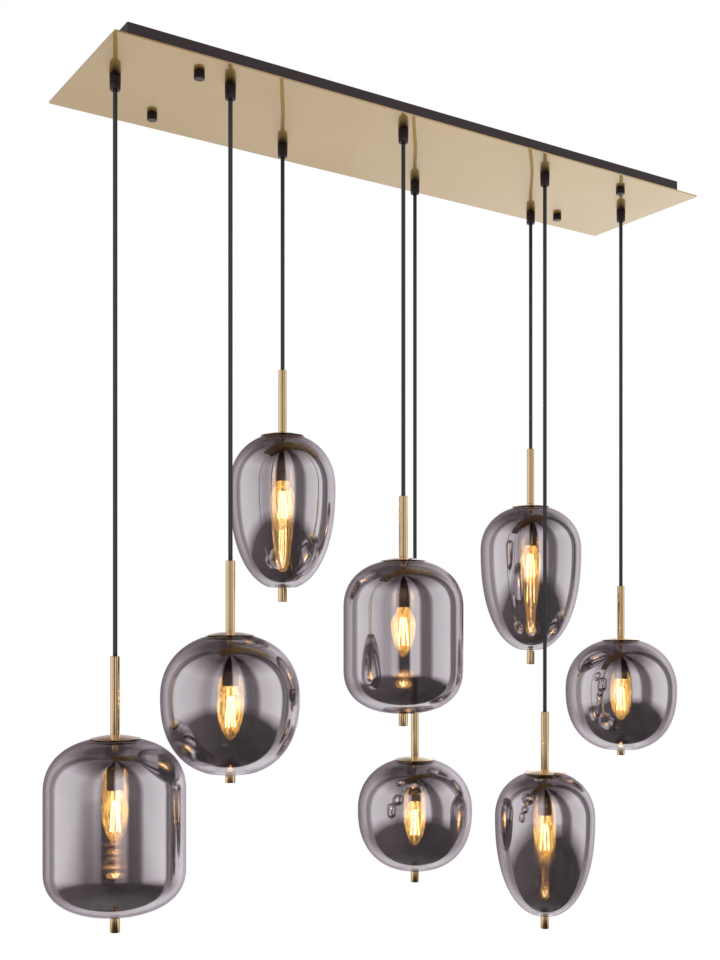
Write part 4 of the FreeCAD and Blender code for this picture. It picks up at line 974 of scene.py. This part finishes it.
def studio_level(nodes):
    """Brightness that a reflection finds in a direction (east, north, height), with ahead = north cos yaw - east
    sin yaw and right = north sin yaw + east cos yaw: the walls and a ceiling that dims straight above, and below
    the floor's edge a dark floor in front and a white one from a little behind the object."""
    split = nodes.node("ShaderNodeSeparateXYZ", Vector=nodes.node("ShaderNodeTexCoord").outputs["Generated"])
    east, north, height = split.outputs["X"], split.outputs["Y"], split.outputs["Z"]
    ahead = nodes.math("MULTIPLY_ADD", north, math.cos(CAMERA_YAW),
                       nodes.math("MULTIPLY", east, -math.sin(CAMERA_YAW)))
    right = nodes.math("MULTIPLY_ADD", north, math.sin(CAMERA_YAW),
                       nodes.math("MULTIPLY", east, math.cos(CAMERA_YAW)))
    angle = nodes.math("ARCTAN2", north, east)
    turn = nodes.math("FRACT", nodes.math("ADD", nodes.math("DIVIDE", angle, 2 * math.pi), STUDIO_TURN))
    walls = nodes.ramp(turn, *((0.5 + bearing / 360, grey(level)) for bearing, level in STUDIO_WALLS))
    overhead = nodes.math("MULTIPLY_ADD", nodes.math("MAXIMUM", ahead, 0.0), CEILING_LEAN, height)
    upper = nodes.math("MULTIPLY", walls, nodes.fade(overhead, *CEILING_DIMS))
    off_camera = nodes.math("ABSOLUTE", nodes.math("SUBTRACT", turn, 0.5))
    under_edge = nodes.math("SUBTRACT", nodes.fade(off_camera, *FLOOR_EDGE_BY_TURN), height)
    below = nodes.math("MULTIPLY_ADD", under_edge, nodes.fade(off_camera, *EDGE_SHARPNESS_BY_TURN), 0.5, clamp=True)
    behind = nodes.math("MULTIPLY_ADD", nodes.math("MULTIPLY_ADD", height, WHITE_FLOOR_START, ahead),
                        WHITE_FLOOR_SHARPNESS, 0.5, clamp=True)
    white = nodes.math("MULTIPLY", nodes.fade(right, *WHITE_FLOOR),
                       nodes.fade(nodes.math("ABSOLUTE", right), *WHITE_FLOOR_SIDES))
    floor = nodes.node("ShaderNodeMix", Factor=behind, A=nodes.fade(right, *DARK_FLOOR), B=white).outputs["Result"]
    return nodes.node("ShaderNodeMix", Factor=below, A=upper, B=floor).outputs["Result"]


def make_world():
    """White seen directly and through glass, the studio in reflections, and an even soft light otherwise."""
    world = bpy.data.worlds.new("studio")
    bpy.context.scene.world = world
    world.use_nodes = True
    world.node_tree.nodes.clear()
    nodes = NodeTree(world.node_tree)
    level = studio_level(nodes)
    warm = nodes.node("ShaderNodeCombineColor", Red=level, Green=nodes.math("POWER", level, WARM_GREEN),
                      Blue=nodes.math("POWER", level, WARM_BLUE))
    white = (1.0, 1.0, 1.0, 1.0)
    reflected = nodes.node("ShaderNodeBackground", Color=warm.outputs["Color"]).outputs[0]
    plain = nodes.node("ShaderNodeBackground", Color=white).outputs[0]
    soft = nodes.node("ShaderNodeBackground", Color=white, Strength=LIGHT_LEVEL).outputs[0]
    path = nodes.node("ShaderNodeLightPath")
    direct = nodes.math("MAXIMUM", path.outputs["Is Camera Ray"], path.outputs["Is Transmission Ray"])
    lit = nodes.mix_shader(path.outputs["Is Glossy Ray"], soft, reflected)
    out = nodes.node("ShaderNodeOutputWorld")
    nodes.feed(out.inputs["Surface"], nodes.mix_shader(direct, lit, plain))


PANEL_SIZE = (1.2, 2.4)
PANELS = {"panel_left": ((-2.6, -0.6, 0.4), 22), "panel_right": ((1.2, -2.8, 0.6), 26)}
OBJECT_MIDDLE = (0.0, 0.0, -0.6)
CAMERA_PLACE = (-1.0373, -1.4668, -0.7295)
CAMERA_SHIFT = 0.1552
PICTURE_HEIGHT_PIXELS = 960
FOCAL_LENGTH_PIXELS = 1210.6
SENSOR_MM = 36.0


def add_panel(name, place, watts):
    """A soft rectangular lamp aimed at the object."""
    data = bpy.data.lights.new(name, "AREA")
    data.shape = "RECTANGLE"
    data.size, data.size_y = PANEL_SIZE
    data.energy = watts
    lamp = bpy.data.objects.new(name, data)
    bpy.context.scene.collection.objects.link(lamp)
    lamp.location = place
    aim = Vector(OBJECT_MIDDLE) - Vector(place)
    lamp.rotation_euler = aim.to_track_quat("-Z", "Y").to_euler()
    lamp.visible_glossy = False


def make_camera():
    """The photograph's camera, level, with its frame shifted up to the canopy."""
    data = bpy.data.cameras.new("camera")
    data.lens = FOCAL_LENGTH_PIXELS / PICTURE_HEIGHT_PIXELS * SENSOR_MM
    data.shift_y = CAMERA_SHIFT
    camera = bpy.data.objects.new("camera", data)
    bpy.context.scene.collection.objects.link(camera)
    camera.location = CAMERA_PLACE
    camera.rotation_euler = (math.radians(90), 0, CAMERA_YAW)
    bpy.context.scene.camera = camera


def make_studio():
    """Camera, floor, world and lamps."""
    bpy.context.scene.view_settings.view_transform = "Standard"
    make_camera()
    make_floor()
    make_world()
    for name, (place, watts) in PANELS.items():
        add_panel(name, place, watts)


PARTS = [Pendant(number) for number in PENDANTS]
make_canopy(PARTS)
for part in PARTS:
    make_cord(part)
    make_stem(part)
    make_lampholder(part)
    make_bulb(part)
    make_shade(part)
    make_finial(part)
make_studio()
